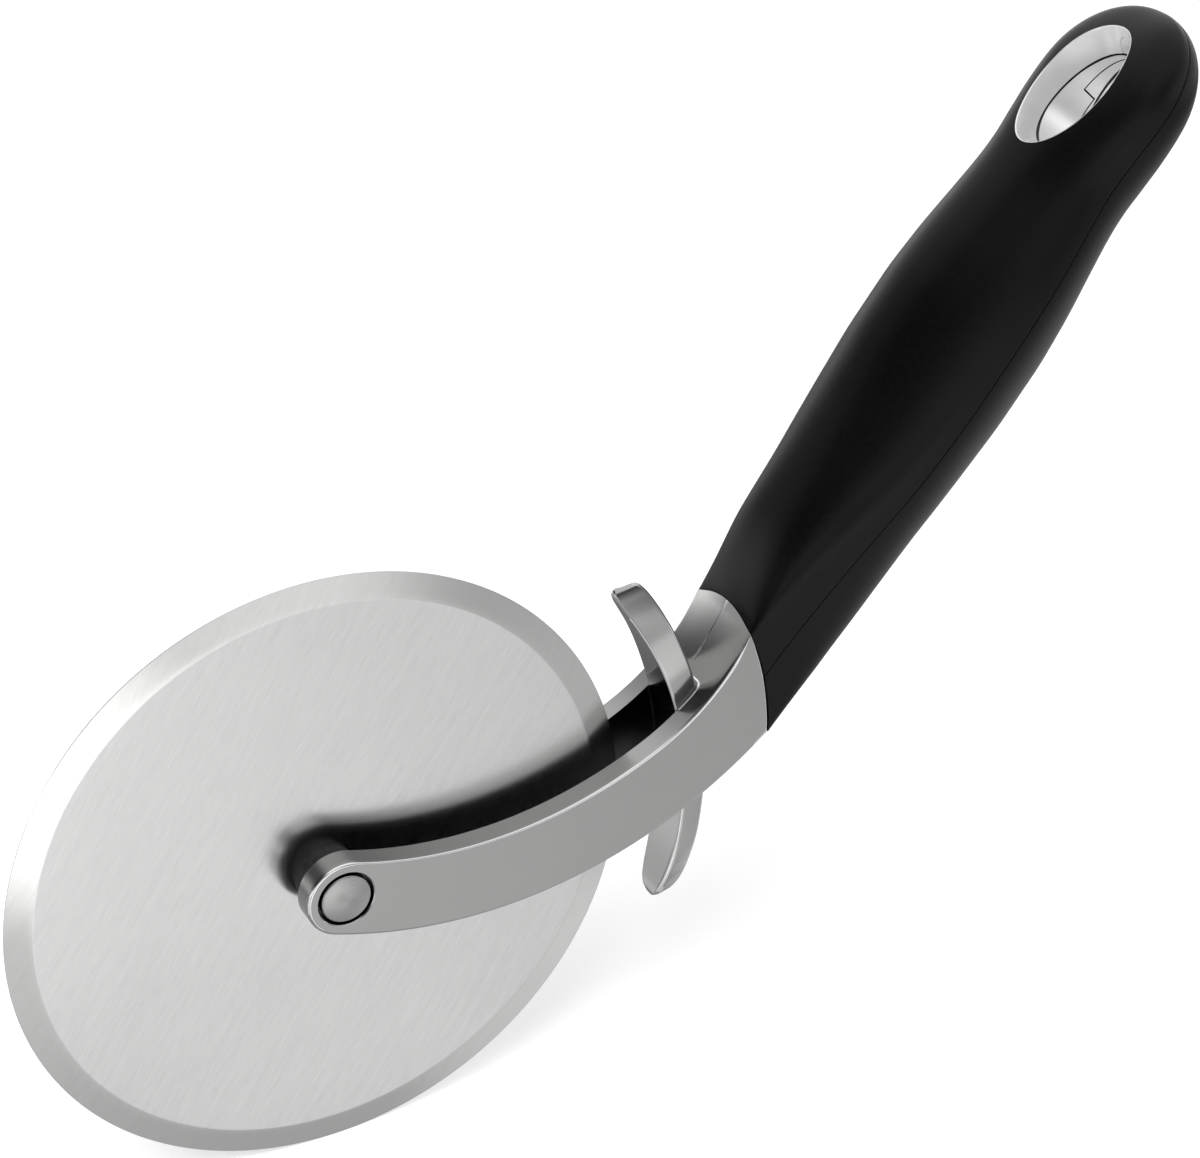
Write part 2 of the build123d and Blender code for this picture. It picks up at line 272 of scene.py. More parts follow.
def contrasted(tree, value, contrast):
    """Spread a value about its middle, and keep it between 0 and 1."""
    centred = math_node(tree, "SUBTRACT", value, 0.5)
    return math_node(tree, "ADD", math_node(tree, "MULTIPLY", centred, contrast), 0.5, clamp=True)


def noise_node(tree, vector, scale, detail, rough):
    """Noise of a linked scale, as a value round one half."""
    node = tree.nodes.new("ShaderNodeTexNoise")
    node.inputs["Detail"].default_value = detail
    node.inputs["Roughness"].default_value = rough
    tree.links.new(vector, node.inputs["Vector"])
    tree.links.new(scale, node.inputs["Scale"])
    return node.outputs["Fac"]


# %% [markdown]
# Brushed steel is scratched along one direction. Noise becomes strokes when the incoming vector
# is shrunk along that direction, so that each fleck is drawn out long and thin. Fine strokes over
# broad ones look like a real belt finish, where every grit leaves its own width.

# %% Brush strokes
FINE_STROKE_SHARE, BROAD_STROKE_SCALE, STROKE_CONTRAST = 0.65, 0.28, 2.6


def brush_strokes():
    """Long thin strokes along the first axis of the incoming vector."""
    group, start, end = new_group(
        "brush strokes", (("Scale", 1500.0), ("Stretch", 24.0)), ("Shade", "Height"))
    split = group.nodes.new("ShaderNodeSeparateXYZ")
    group.links.new(start.outputs["Vector"], split.inputs[0])
    join = group.nodes.new("ShaderNodeCombineXYZ")
    for axis in (0, 2):
        shrunk = math_node(group, "DIVIDE", split.outputs[axis], start.outputs["Stretch"])
        group.links.new(shrunk, join.inputs[axis])
    group.links.new(split.outputs[1], join.inputs[1])
    fine = noise_node(group, join.outputs[0], start.outputs["Scale"], 4.0, 0.7)
    broad_scale = math_node(group, "MULTIPLY", start.outputs["Scale"], BROAD_STROKE_SCALE)
    broad = noise_node(group, join.outputs[0], broad_scale, 2.0, 0.5)
    mixed = blended(group, fine, FINE_STROKE_SHARE, broad)
    group.links.new(contrasted(group, mixed, STROKE_CONTRAST), end.inputs["Shade"])
    group.links.new(mixed, end.inputs["Height"])
    return group


# %% [markdown]
# A casting blasted with beads and a soft moulding both have an even, tiny grain. Noise alone
# looks cloudy, so the round cells of a Voronoi texture are mixed into the height that bumps it.

# %% Fine grain
GRAIN_NOISE_SHARE, GRAIN_CELL_SCALE = 0.6, 0.8


def fine_grain():
    """Even grain of a bead-blasted casting or of a soft-touch moulding."""
    group, start, end = new_group(
        "fine grain", (("Scale", 2500.0), ("Contrast", 2.0)), ("Shade", "Height"))
    grain = noise_node(group, start.outputs["Vector"], start.outputs["Scale"], 2.0, 0.6)
    cells = group.nodes.new("ShaderNodeTexVoronoi")
    group.links.new(start.outputs["Vector"], cells.inputs["Vector"])
    cell_scale = math_node(group, "MULTIPLY", start.outputs["Scale"], GRAIN_CELL_SCALE)
    group.links.new(cell_scale, cells.inputs["Scale"])
    height = blended(group, grain, GRAIN_NOISE_SHARE, cells.outputs["Distance"])
    shade = contrasted(group, grain, start.outputs["Contrast"])
    group.links.new(shade, end.inputs["Shade"])
    group.links.new(height, end.inputs["Height"])
    return group


# %% [markdown]
# No real surface is evenly clean. Slow patches of noise stand for plating that pooled and for
# places that were wiped, and they are what keeps a large plain face from looking drawn.

# %% Cloudy smudges
def cloudy_smudges():
    """Slow uneven patches, such as plating that pools or a surface that has been wiped."""
    group, start, end = new_group(
        "cloudy smudges", (("Scale", 40.0), ("Sharpness", 2.5)), ("Shade",))
    cloud = noise_node(group, start.outputs["Vector"], start.outputs["Scale"], 3.0, 0.55)
    shade = contrasted(group, cloud, start.outputs["Sharpness"])
    group.links.new(shade, end.inputs["Shade"])
    return group


STROKES, GRAIN, SMUDGES = brush_strokes(), fine_grain(), cloudy_smudges()
print("effects:", [g.name for g in (STROKES, GRAIN, SMUDGES)])

# %% [markdown]
# ## Finishes
# A finish starts as a Principled shader with its uniform values set on the sockets. Its colour
# and roughness then vary a little between two values, driven by one of the shared effects.

# %% Material helpers


def finish(name, metallic, specular=0.5):
    """New material; returns it with its node tree and Principled shader."""
    mat = bpy.data.materials.new(name)
    mat.use_nodes = True
    tree = mat.node_tree
    shader = tree.nodes["Principled BSDF"]
    shader.inputs["Metallic"].default_value = metallic
    shader.inputs["Specular IOR Level"].default_value = specular
    return mat, tree, shader


def place(tree, group, vector=None, **values):
    """Put a shared effect into a material, fed by object coordinates unless told otherwise."""
    node = tree.nodes.new("ShaderNodeGroup")
    node.node_tree = group
    if vector is None:
        vector = tree.nodes.new("ShaderNodeTexCoord").outputs["Object"]
    tree.links.new(vector, node.inputs["Vector"])
    for label, value in values.items():
        node.inputs[label].default_value = value
    return node


def colour_between(tree, shader, factor, dark, light):
    """Base colour that goes from dark to light with a value."""
    mix = tree.nodes.new("ShaderNodeMix")
    mix.data_type = "RGBA"
    mix.inputs[6].default_value = (*dark, 1)
    mix.inputs[7].default_value = (*light, 1)
    tree.links.new(factor, mix.inputs[0])
    tree.links.new(mix.outputs[2], shader.inputs["Base Color"])


def rough_between(tree, shader, factor, low, high):
    """Roughness that goes from low to high with a value."""
    value = tree.nodes.new("ShaderNodeMapRange")
    value.inputs["To Min"].default_value = low
    value.inputs["To Max"].default_value = high
    tree.links.new(factor, value.inputs["Value"])
    tree.links.new(value.outputs["Result"], shader.inputs["Roughness"])


def bumped(tree, shader, height, strength, distance):
    """Relief from a height; the distance is in millimetres."""
    bump = tree.nodes.new("ShaderNodeBump")
    bump.inputs["Strength"].default_value = strength
    bump.inputs["Distance"].default_value = distance * MM
    tree.links.new(height, bump.inputs["Height"])
    tree.links.new(bump.outputs["Normal"], shader.inputs["Normal"])


def wear(piece, *finishes):
    """Give a piece its materials; the first one covers every face until told otherwise."""
    piece.data.materials.clear()
    for mat in finishes:
        piece.data.materials.append(mat)


print("finish helpers ready")

# %% [markdown]
# The blade is stamped sheet steel, brushed straight across, with a bevel ground finer than the
# face. Both are one recipe with other values. The strokes stretch every highlight at right angles
# to themselves, which the anisotropic setting does far better than bumps could.

# %% Brushed blade steel
def blade_steel(name, dark, light, low, high, strength):
    """Strokes follow the mesh's own flat map, so they turn with the wheel."""
    mat, tree, shader = finish(name, 1.0)
    flat = tree.nodes.new("ShaderNodeUVMap")
    strokes = place(tree, STROKES, flat.outputs["UV"], Scale=2600.0, Stretch=9.0)
    smudges = place(tree, SMUDGES, Scale=28.0, Sharpness=2.0)
    blend = blended(tree, strokes.outputs["Shade"], 0.6, smudges.outputs["Shade"])
    colour_between(tree, shader, blend, dark, light)
    rough_between(tree, shader, blend, high, low)
    bumped(tree, shader, strokes.outputs["Height"], strength, distance=0.04)
    shader.inputs["Anisotropic"].default_value = 0.7
    shader.inputs["Anisotropic Rotation"].default_value = 0.25
    tangent = tree.nodes.new("ShaderNodeTangent")
    tangent.direction_type = "UV_MAP"
    tree.links.new(tangent.outputs["Tangent"], shader.inputs["Tangent"])
    return mat


BLADE_FACE = blade_steel(
    "blade face steel", (0.565, 0.565, 0.562), (0.695, 0.695, 0.69), 0.17, 0.24, strength=0.16)
BLADE_BEVEL = blade_steel(
    "ground bevel steel", (0.54, 0.54, 0.535), (0.60, 0.60, 0.595), 0.13, 0.17, strength=0.04)
print("blade finishes:", BLADE_FACE.name, "and", BLADE_BEVEL.name)

# %% [markdown]
# The castings are plated to a satin grey. Their grain is too fine to see as bumps, so most of the
# change is slow patches in colour and roughness. The same recipe gives four finishes: the plain
# casting, the glossier guard, a pale one that is a painted highlight on rounded edges, and a
# near-black one that is painted shade inside the slot, the wells and the eye's gaps.

# %% Satin plated casting
def satin_casting(name, dark, light, low, high):
    """Plated casting: two near colours and two near roughnesses, mixed by patches and grain."""
    mat, tree, shader = finish(name, 1.0)
    grain = place(tree, GRAIN, Scale=5200.0, Contrast=1.4)
    smudges = place(tree, SMUDGES, Scale=55.0, Sharpness=1.6)
    blend = blended(tree, grain.outputs["Shade"], 0.3, smudges.outputs["Shade"])
    colour_between(tree, shader, blend, dark, light)
    rough_between(tree, shader, blend, low, high)
    bumped(tree, shader, grain.outputs["Height"], 0.05, distance=0.01)
    return mat


SATIN = satin_casting(
    "satin plated casting", (0.38, 0.38, 0.376), (0.41, 0.41, 0.406), 0.20, 0.25)
SATIN_GLOSS = satin_casting(
    "glossier plated casting", (0.39, 0.39, 0.386), (0.42, 0.42, 0.416), 0.12, 0.16)
# Pale finish: a painted highlight on rounded edges of the fork, the guard and the bead.
HIGHLIGHT_PAINT = satin_casting(
    "painted highlight finish", (0.74, 0.74, 0.735), (0.80, 0.80, 0.795), 0.18, 0.24)
# Near-black finish: painted shade for the slot, the wells and the gaps of the eye's sleeves.
SHADE_PAINT = satin_casting(
    "painted shade finish", (0.035, 0.035, 0.035), (0.055, 0.055, 0.055), 0.22, 0.30)
print("casting finishes:", [m.name for m in (SATIN, SATIN_GLOSS, HIGHLIGHT_PAINT, SHADE_PAINT)])

# %% [markdown]
# The axle's button was faced on a lathe, which leaves rings, and rings make light fan out from
# the middle like a record's. A ring-shaped wave gives the tone, and a radial tangent the fan. The
# black parts share one recipe for moulded plastic, from dull nylon to the softer grip.

# %% Turned steel, nylon, core plastic and soft black
def turned_steel():
    """Machined end of a pin: fine rings about the axle, so light fans out from its middle."""
    mat, tree, shader = finish("turned steel", 1.0)
    coord = tree.nodes.new("ShaderNodeTexCoord")
    shift = tree.nodes.new("ShaderNodeVectorMath")
    shift.operation = "SUBTRACT"
    shift.inputs[1].default_value = [c * MM for c in WHEEL_CENTRE]
    tree.links.new(coord.outputs["Object"], shift.inputs[0])
    rings = tree.nodes.new("ShaderNodeTexWave")
    rings.wave_type = "RINGS"
    rings.rings_direction = "Y"
    rings.inputs["Scale"].default_value = 1600.0
    rings.inputs["Distortion"].default_value = 1.2
    tree.links.new(shift.outputs[0], rings.inputs["Vector"])
    colour_between(tree, shader, rings.outputs["Fac"], (0.32, 0.32, 0.317), (0.42, 0.42, 0.416))
    rough_between(tree, shader, rings.outputs["Fac"], 0.24, 0.34)
    bumped(tree, shader, rings.outputs["Fac"], 0.15, distance=0.01)
    shader.inputs["Anisotropic"].default_value = 0.7
    tangent = tree.nodes.new("ShaderNodeTangent")
    tangent.direction_type = "RADIAL"
    tangent.axis = "Y"
    tree.links.new(tangent.outputs["Tangent"], shader.inputs["Tangent"])
    return mat


def moulded(name, dark, light, low, high, scale, strength):
    """Moulded plastic with a fine grain; dark and light are two greys."""
    mat, tree, shader = finish(name, 0.0, 0.16)
    grain = place(tree, GRAIN, Scale=scale, Contrast=2.4)
    smudges = place(tree, SMUDGES, Scale=35.0, Sharpness=2.0)
    blend = blended(tree, grain.outputs["Shade"], 0.7, smudges.outputs["Shade"])
    colour_between(tree, shader, blend, (dark, dark, dark), (light, light, light))
    rough_between(tree, shader, blend, low, high)
    bumped(tree, shader, grain.outputs["Height"], strength, distance=0.05)
    return mat


TURNED = turned_steel()
NYLON = moulded("black nylon", 0.012, 0.03, 0.40, 0.55, scale=1800.0, strength=0.2)
CORE = moulded("core plastic", 0.03, 0.06, 0.45, 0.6, scale=1500.0, strength=0.2)
SOFT_BLACK = moulded("soft touch black", 0.0008, 0.003, 0.30, 0.40, scale=2400.0, strength=0.12)
print("plastic finishes:", [m.name for m in (NYLON, CORE, SOFT_BLACK)])

# %% [markdown]
# The eye is chromed plastic: brighter than the castings, but not a perfect mirror. A part metal
# shader keeps its lip pale where a full one would turn black with the dark side of the studio.

# %% Bright chrome
def bright_chrome():
    """Pale chrome with faint cloudy patches."""
    mat, tree, shader = finish("bright chrome", 0.6)
    smudges = place(tree, SMUDGES, Scale=120.0, Sharpness=2.0)
    colour_between(tree, shader, smudges.outputs["Shade"], (0.76, 0.76, 0.76), (0.83, 0.83, 0.83))
    rough_between(tree, shader, smudges.outputs["Shade"], 0.20, 0.26)
    return mat


CHROME = bright_chrome()
print("finishes:", len(bpy.data.materials))

# %% [markdown]
# ## The cutting wheel
# A four inch disc of 1.2 mm steel with a wide ground bevel. A lathe is the natural tool: one
# outline turned about the axle. The bevel's shoulder is softened a little, because a real ground
# edge is never perfectly sharp. The stroke direction is stored as a flat map on the disc. The
# narrow land left at the very rim takes the darker casting finish, painted shade that draws the
# blade's thin dark outline.

# %% Cutting wheel
WHEEL_RADIUS, WHEEL_HALF, BEVEL_WIDTH, RIM_LAND = 50.8, 0.6, 4.2, 0.08
HUB_BORE, HUB_CHAMFER = 4.0, 0.1
SHOULDER_ROUND = 0.25
STROKE_TURN = radians(56)
RIM_FACING = 0.5
FACE_STEPS, BEVEL_STEPS = 12, 6


def wheel_outline():
    """Closed outline from the bore out over the near face, round the rim and back."""
    shoulder = WHEEL_RADIUS - BEVEL_WIDTH
    flat = shoulder - SHOULDER_ROUND - HUB_BORE
    slope = (WHEEL_HALF - RIM_LAND) / BEVEL_WIDTH
    near = [(HUB_BORE, -WHEEL_HALF + HUB_CHAMFER), (HUB_BORE + HUB_CHAMFER, -WHEEL_HALF)]
    near += [(HUB_BORE + flat * k / FACE_STEPS, -WHEEL_HALF) for k in range(1, FACE_STEPS + 1)]
    near += [(shoulder, -WHEEL_HALF + slope * SHOULDER_ROUND / 4)]
    for k in range(1, BEVEL_STEPS + 1):
        out = BEVEL_WIDTH * k / BEVEL_STEPS
        near.append((shoulder + out, -WHEEL_HALF + slope * out))
    return near + [(r, -y) for r, y in reversed(near)]


def cutting_wheel():
    """The blade, with one finish for its face, one for the bevel and one for the rim."""
    obj = lathe("blade", wheel_outline(), steps=360)
    flat = obj.data.uv_layers.new(name="strokes")
    centre = from_head(0, 0, 0)
    along = Vector((cos(STROKE_TURN), 0, sin(STROKE_TURN)))
    across = Vector((-sin(STROKE_TURN), 0, cos(STROKE_TURN)))
    for loop in obj.data.loops:
        d = obj.data.vertices[loop.vertex_index].co - centre
        flat.data[loop.index].uv = (d.dot(along), d.dot(across))
    # The rim faces take the satin casting finish: painted shade that draws the blade's thin outline.
    wear(obj, BLADE_FACE, BLADE_BEVEL, SATIN)
    for face in obj.data.polygons:
        d = face.center - centre
        if sqrt(d.x ** 2 + d.z ** 2) > (WHEEL_RADIUS - BEVEL_WIDTH) * MM:
            face.material_index = 1 if abs(face.normal.y) > RIM_FACING else 2
    smooth_shaded(obj, sharp_deg=5)
    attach(obj, "wheel")
    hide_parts("cutting_wheel")
    return obj


blade = cutting_wheel()
print("blade faces:", len(blade.data.polygons))

# %% [markdown]
# ## The fork
# The two castings meet on the tool's middle plane. Each is an outline pulled across, with a
# rounded outer edge that widens towards the handle, a slot for the wheel, and an end that swells
# by a millimetre into the handle. Building it as rows round the outline keeps that edge clean.
# First comes the slanted cut where the fork ends and the handle begins.

# %% The cut between fork and handle
FORK_HALF, SLOT_HALF = 8.3, 4.53
CUT_TOP, CUT_BOTTOM = (64.2, 6.9), (51.8, -7.5)


def head_at(u, h):
    """Point of the handle frame as a point of the head frame, both flat, in millimetres."""
    p = AXIS * u + LIFT * (h - HANDLE_OFFSET)
    return (p.x, p.z)


CUT_A, CUT_B = Vector(head_at(*CUT_TOP)), Vector(head_at(*CUT_BOTTOM))
CUT_ALONG = (CUT_B - CUT_A).normalized()
CUT_NORMAL = Vector((-CUT_ALONG.y, CUT_ALONG.x))
CUT_MIDDLE = (CUT_A + CUT_B) / 2


def past_cut(p):
    """How far a head-frame point lies behind the cut between fork and handle."""
    return (Vector(p) - CUT_MIDDLE).dot(CUT_NORMAL)


def cut_point(points):
    """Where a run of points crosses the cut."""
    for p, q in zip(points, points[1:]):
        a, b = past_cut(p), past_cut(q)
        if a < 0 <= b:
            return tuple(Vector(p).lerp(Vector(q), a / (a - b)))
    raise ValueError("the fork's outline misses the cut")


def up_to_cut(points):
    """The part of a run of points in front of the cut, with its last point on the cut."""
    return [p for p in points if past_cut(p) < 0] + [cut_point(points)]


print("length of the cut, mm:", round((CUT_B - CUT_A).length, 1))

# %% [markdown]
# Seen from the side, the arm is a round nose, two arcs along the top and one underneath. Arcs
# that leave each other on the same heading have no kink, so the long highlights run unbroken.

# %% Fork outline
NOSE_RADIUS, NOSE_TOP, NOSE_BOTTOM = 6.35, 72.3, -109.6
TOP_ARCS = ((67.4, 44.8), (40.6, 62.0))
BOTTOM_ARC = (77.4, 72.0)
ARC_STEPS, NOSE_STEPS, END_STEPS = 60, 40, 24


def on_circle(radius, turn, centre=(0.0, 0.0)):
    """Point on a circle, at a direction in degrees."""
    return (centre[0] + radius * cos(radians(turn)), centre[1] + radius * sin(radians(turn)))


def arc_points(start, heading, radius, turn, steps):
    """Points along an arc that leaves on a heading and turns left."""
    centre = on_circle(radius, heading + 90, start)
    points = [on_circle(radius, heading - 90 + turn * k / steps, centre) for k in range(steps + 1)]
    return points, heading + turn


def fork_outline():
    """Outline round the arm: nose, top out to the cut, down the cut, and back underneath."""
    over_start, under_start = on_circle(NOSE_RADIUS, NOSE_TOP), on_circle(NOSE_RADIUS, NOSE_BOTTOM)
    first, heading = arc_points(over_start, NOSE_TOP - 90, *TOP_ARCS[0], ARC_STEPS)
    second, _ = arc_points(first[-1], heading, *TOP_ARCS[1], ARC_STEPS)
    under, _ = arc_points(under_start, NOSE_BOTTOM + 90, *BOTTOM_ARC, 2 * ARC_STEPS)
    top, below = up_to_cut(first + second[1:]), up_to_cut(under)
    nose_turn = NOSE_TOP - NOSE_BOTTOM - 360
    nose = [on_circle(NOSE_RADIUS, NOSE_BOTTOM + 360 + nose_turn * k / NOSE_STEPS)
            for k in range(1, NOSE_STEPS)]
    corner_a, corner_b = Vector(top[-1]), Vector(below[-1])
    end = [tuple(corner_a.lerp(corner_b, k / END_STEPS)) for k in range(1, END_STEPS)]
    return top + end + list(reversed(below)) + nose, len(top), len(end)


OUTLINE, TOP_COUNT, END_COUNT = fork_outline()
print("outline points:", len(OUTLINE), "top reaches", [round(c, 2) for c in OUTLINE[TOP_COUNT - 1]])

# %% [markdown]
# The joint between fork and handle isn't flat in the photograph: both its top line and its side
# line bow about a millimetre towards the handle. The same small push along the handle moves the
# fork's end and the handle's mouth, so the two stay a constant hairline apart.

# %% The bowed joint
JOINT_BOW, JOINT_REACH, BOW_LIMIT = 1.0, 9.0, 1.2
JOINT_SPAN = (CUT_B - CUT_A).length / 2
BOW_AXIS = Vector((AXIS.x, AXIS.z))


def bow_push(x, y, z):
    """How far along the handle's axis the joint is pushed at this place."""
    t = (Vector((x, z)) - CUT_MIDDLE).dot(CUT_ALONG) / JOINT_SPAN
    fall = min(t * t, BOW_LIMIT) + min((y / FORK_HALF) ** 2, BOW_LIMIT)
    push = JOINT_BOW * max(0, 2 - fall)
    return push / BOW_AXIS.dot(CUT_NORMAL)


def bowed(x, y, z):
    """Push a head-frame point towards the handle, most at the middle of the joint."""
    push = bow_push(x, y, z) * eased(1 - abs(past_cut((x, z))) / JOINT_REACH)
    return (x + BOW_AXIS.x * push, y, z + BOW_AXIS.y * push)


print("push at the middle of the joint, mm:", round(bow_push(CUT_MIDDLE.x, 0, CUT_MIDDLE.y), 2))

# %% [markdown]
# The outer edge of a casting is never one plain round: here it starts narrow at the nose, widens
# along the top and nearly vanishes at the sharp corner where the top meets the handle. So
# its size is worked out point by point, then evened out so that no step shows in the highlight.

# %% Rounds of the outer edge
EDGE_AT_NOSE, EDGE_GAIN, EDGE_AT_JOINT, EDGE_BELOW = 0.26, 0.32, 0.28, 0.5
CORNER_EDGE, CORNER_POINTS = 0.05, 3
PINCH_SHARE, PINCH_START, PINCH_POINTS = 0.9, 11, 8


def edge_round(i):
    """Round of the outer edge at one point of the outline."""
    past_corner = i - TOP_COUNT
    if -CORNER_POINTS <= past_corner < CORNER_POINTS:
        return CORNER_EDGE
    if i < TOP_COUNT:
        pinch = PINCH_SHARE * eased((past_corner + PINCH_START) / PINCH_POINTS)
        return (EDGE_AT_NOSE + EDGE_GAIN * eased(i / TOP_COUNT)) * (1 - pinch)
    return EDGE_AT_JOINT if i < TOP_COUNT + END_COUNT else EDGE_BELOW


def smoothed_rounds():
    """The rounds of all points, each averaged twice with its neighbours."""
    sizes = [edge_round(i) for i in range(len(OUTLINE))]
    for _ in range(2):
        after = sizes[1:] + sizes[:1]
        sizes = [(sizes[i - 1] + size * 2 + after[i]) / 4 for i, size in enumerate(sizes)]
    return sizes


ROUNDS = smoothed_rounds()
print("edge rounds, mm:", round(min(ROUNDS), 2), "to", round(max(ROUNDS), 2))

# %% [markdown]
# Near the handle the top and the underside swell into a low crown, because the fork has to grow
# into a rounder grip. Each point is lifted square to the outline, but beside the cut it is lifted
# along the cut instead, so that the end stays flat and the skin doesn't fold over itself.

# %% Crown and parting line
CROWN_RISE, CROWN_REACH = 0.9, 11.0
TURNING_POINTS, TURNING_REACH = 6, 2.6
PARTING_GROOVE, PARTING_LEAST, PARTING_REACH = 0.12, 0.25, 9.0


def outline_normals():
    """Direction straight out of the outline at each point."""
    out = []
    for i in range(len(OUTLINE)):
        a, b = Vector(OUTLINE[i - 1]), Vector(OUTLINE[(i + 1) % len(OUTLINE)])
        run = (b - a).normalized()
        out.append(Vector((-run.y, run.x)))
    return out


def crown(i, y):
    """The top and the underside swell towards the middle plane near the handle."""
    if TOP_COUNT <= i < TOP_COUNT + END_COUNT:
        return 0.0
    share = eased(1 + past_cut(OUTLINE[i]) / CROWN_REACH)
    return CROWN_RISE * share * max(0, 1 - (y / FORK_HALF) ** 2)


def crown_ways(normals):
    """Ways in which the crown lifts each point; beside the cut it lifts along the cut."""
    ways = list(normals)
    top, low = TOP_COUNT - 1, TOP_COUNT + END_COUNT
    ways[top] = CUT_ALONG / CUT_ALONG.dot(normals[top - 1])
    for i in range(low, low + TURNING_POINTS):
        normal = normals[max(i, low + 1)]
        turned = eased(1 + past_cut(OUTLINE[i]) / TURNING_REACH)
        ways[i] = normal.lerp(CUT_ALONG / CUT_ALONG.dot(normal), turned)
    return ways


def parting(i):
    """Depth of the fine groove where the two castings meet, deepest near the handle."""
    if TOP_COUNT <= i < TOP_COUNT + END_COUNT:
        return 0.0
    deeper = (1 - PARTING_LEAST) * eased(1 + past_cut(OUTLINE[i]) / PARTING_REACH)
    return PARTING_GROOVE * (PARTING_LEAST + deeper)


NORMALS = outline_normals()
WAYS = crown_ways(NORMALS)
print("crown at the joint, mm:", round(crown(TOP_COUNT - 1, 0), 2))

# %% [markdown]
# Now the rows: seven of them turn the rounded edge, eleven cross from there towards the middle
# plane, and the last two make the groove on it. The slot, the well for the axle's button and the
# bore are then cut out with round drums, which is what a boolean does best.

# %% One half of the fork
SLOT_CENTRE, SLOT_RADIUS = (-1.3, 1.8), 65.9
WELL_RADIUS, WELL_DEPTH, WELL_LIP, WELL_FLARE = 4.6, 1.7, 0.16, 1.0
BORE_RADIUS, CUT_OVERRUN = 3.03, 1.0
EDGE_STEPS, WIDTH_STEPS = 6, 12


def fork_rows(side):
    """Rows of one casting, from its outer face in to the middle plane."""
    def placed(i, y, inset):
        p = Vector(OUTLINE[i]) + WAYS[i] * crown(i, y) - NORMALS[i] * inset
        x, y, z = bowed(p.x, y, p.y)
        return from_head(x, -side * y, z)

    rows = []
    for k in range(EDGE_STEPS + 1):
        a = pi / 2 * k / EDGE_STEPS
        rows.append([placed(i, -FORK_HALF + size * (1 - cos(a)), size * (1 - sin(a)))
                     for i, size in enumerate(ROUNDS)])
    for k in range(1, WIDTH_STEPS):
        share = k / WIDTH_STEPS
        rows.append([placed(i, -FORK_HALF + size + (FORK_HALF - size) * share, 0)
                     for i, size in enumerate(ROUNDS)])
    rows.append([placed(i, -PARTING_GROOVE, 0) for i in range(len(OUTLINE))])
    rows.append([placed(i, 0, parting(i)) for i in range(len(OUTLINE))])
    return rows


def fork_half(name, side):
    """One casting; side is -1 for the near half and +1 for the far half."""
    face, past_middle = side * FORK_HALF, -side * CUT_OVERRUN
    slot = drum("slot cutter", *SLOT_CENTRE, [
        (side * SLOT_HALF, SLOT_RADIUS), (past_middle, SLOT_RADIUS)], steps=512)
    well = drum("well cutter", 0, 0, [
        (face + side * CUT_OVERRUN, WELL_RADIUS + WELL_FLARE + WELL_LIP),
        (face, WELL_RADIUS + WELL_LIP), (face - side * WELL_LIP, WELL_RADIUS),
        (face - side * WELL_DEPTH, WELL_RADIUS)], steps=192)
    bore = drum("bore cutter", 0, 0, [
        (face + side * CUT_OVERRUN, BORE_RADIUS), (past_middle, BORE_RADIUS)], steps=96)
    return carved(skin_mesh(name, fork_rows(side)), [slot, well, bore])


print("rows in one casting:", EDGE_STEPS + WIDTH_STEPS + 2)

# %% [markdown]
# The slot and the wells round the axle heads lie in shade and look black, and the blade mirrors
# that black above the arm. So every face that lies on the slot or in a well takes the near-black
# finish: painted shade, which the blade then mirrors as a dark streak. The rounded edge along the
# top takes the pale finish, a painted highlight line. Both are found by place and direction.

# %% Painted shade and painted highlight faces of the fork
WELL_SLACK, WALL_SLACK, ARC_SLACK = 0.02, 0.01, 0.05
FACES_Y, FACES_ROUND = 0.9, 0.1
HIGHLIGHT_DEPTH, HIGHLIGHT_TILT, HIGHLIGHT_UP, WELL_MARGIN = 0.6, (0.5, 0.995), -0.1, 0.5


def is_painted_shade_face(face):
    """True for a face on the wheel slot or in the well round an axle head; it gets painted shade."""
    x, y, z = face.center / MM - Vector(WHEEL_CENTRE)
    across = abs(face.normal.y)
    if sqrt(x * x + z * z) < WELL_RADIUS + WELL_SLACK and abs(y) < FORK_HALF - WELL_LIP:
        return True
    reach = sqrt((x - SLOT_CENTRE[0]) ** 2 + (z - SLOT_CENTRE[1]) ** 2)
    if abs(abs(y) - SLOT_HALF) < WALL_SLACK and across > FACES_Y and reach < SLOT_RADIUS:
        return True
    return abs(reach - SLOT_RADIUS) < ARC_SLACK and abs(y) < SLOT_HALF and across < FACES_ROUND


def is_painted_highlight_face(face):
    """True for a face on the rounded edge along the fork's top and the joint; it gets a painted
    highlight.
    """
    x, y, z = face.center / MM - Vector(WHEEL_CENTRE)
    on_edge = abs(y) > FORK_HALF - HIGHLIGHT_DEPTH and face.normal.z > HIGHLIGHT_UP
    tilted = HIGHLIGHT_TILT[0] < abs(face.normal.y) < HIGHLIGHT_TILT[1]
    return on_edge and tilted and sqrt(x * x + z * z) > WELL_RADIUS + WELL_MARGIN


for side, name in ((-1, "near"), (1, "far")):
    half = fork_half("fork casting " + name, side)
    # Painted shade on the slot and the wells, a painted highlight on the rounded top edge.
    wear(half, SATIN, SHADE_PAINT, HIGHLIGHT_PAINT)
    for face in half.data.polygons:
        face.material_index = 1 if is_painted_shade_face(face) else 2 if is_painted_highlight_face(face) else 0
    smooth_shaded(half, sharp_deg=28)
    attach(half, "tool")
    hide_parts("fork_" + name)
    print(half.name, "faces:", len(half.data.polygons))

# %% [markdown]
# ## The finger guard
# A plate that curves about the axle and keeps fingers off the blade. Its upper horn narrows with
# rounded flanks to a thin tip, and its lower horn ends in a round tongue. Each row of points is
# one cross-section with four softened corners, so the long edges catch light as the casting's do.

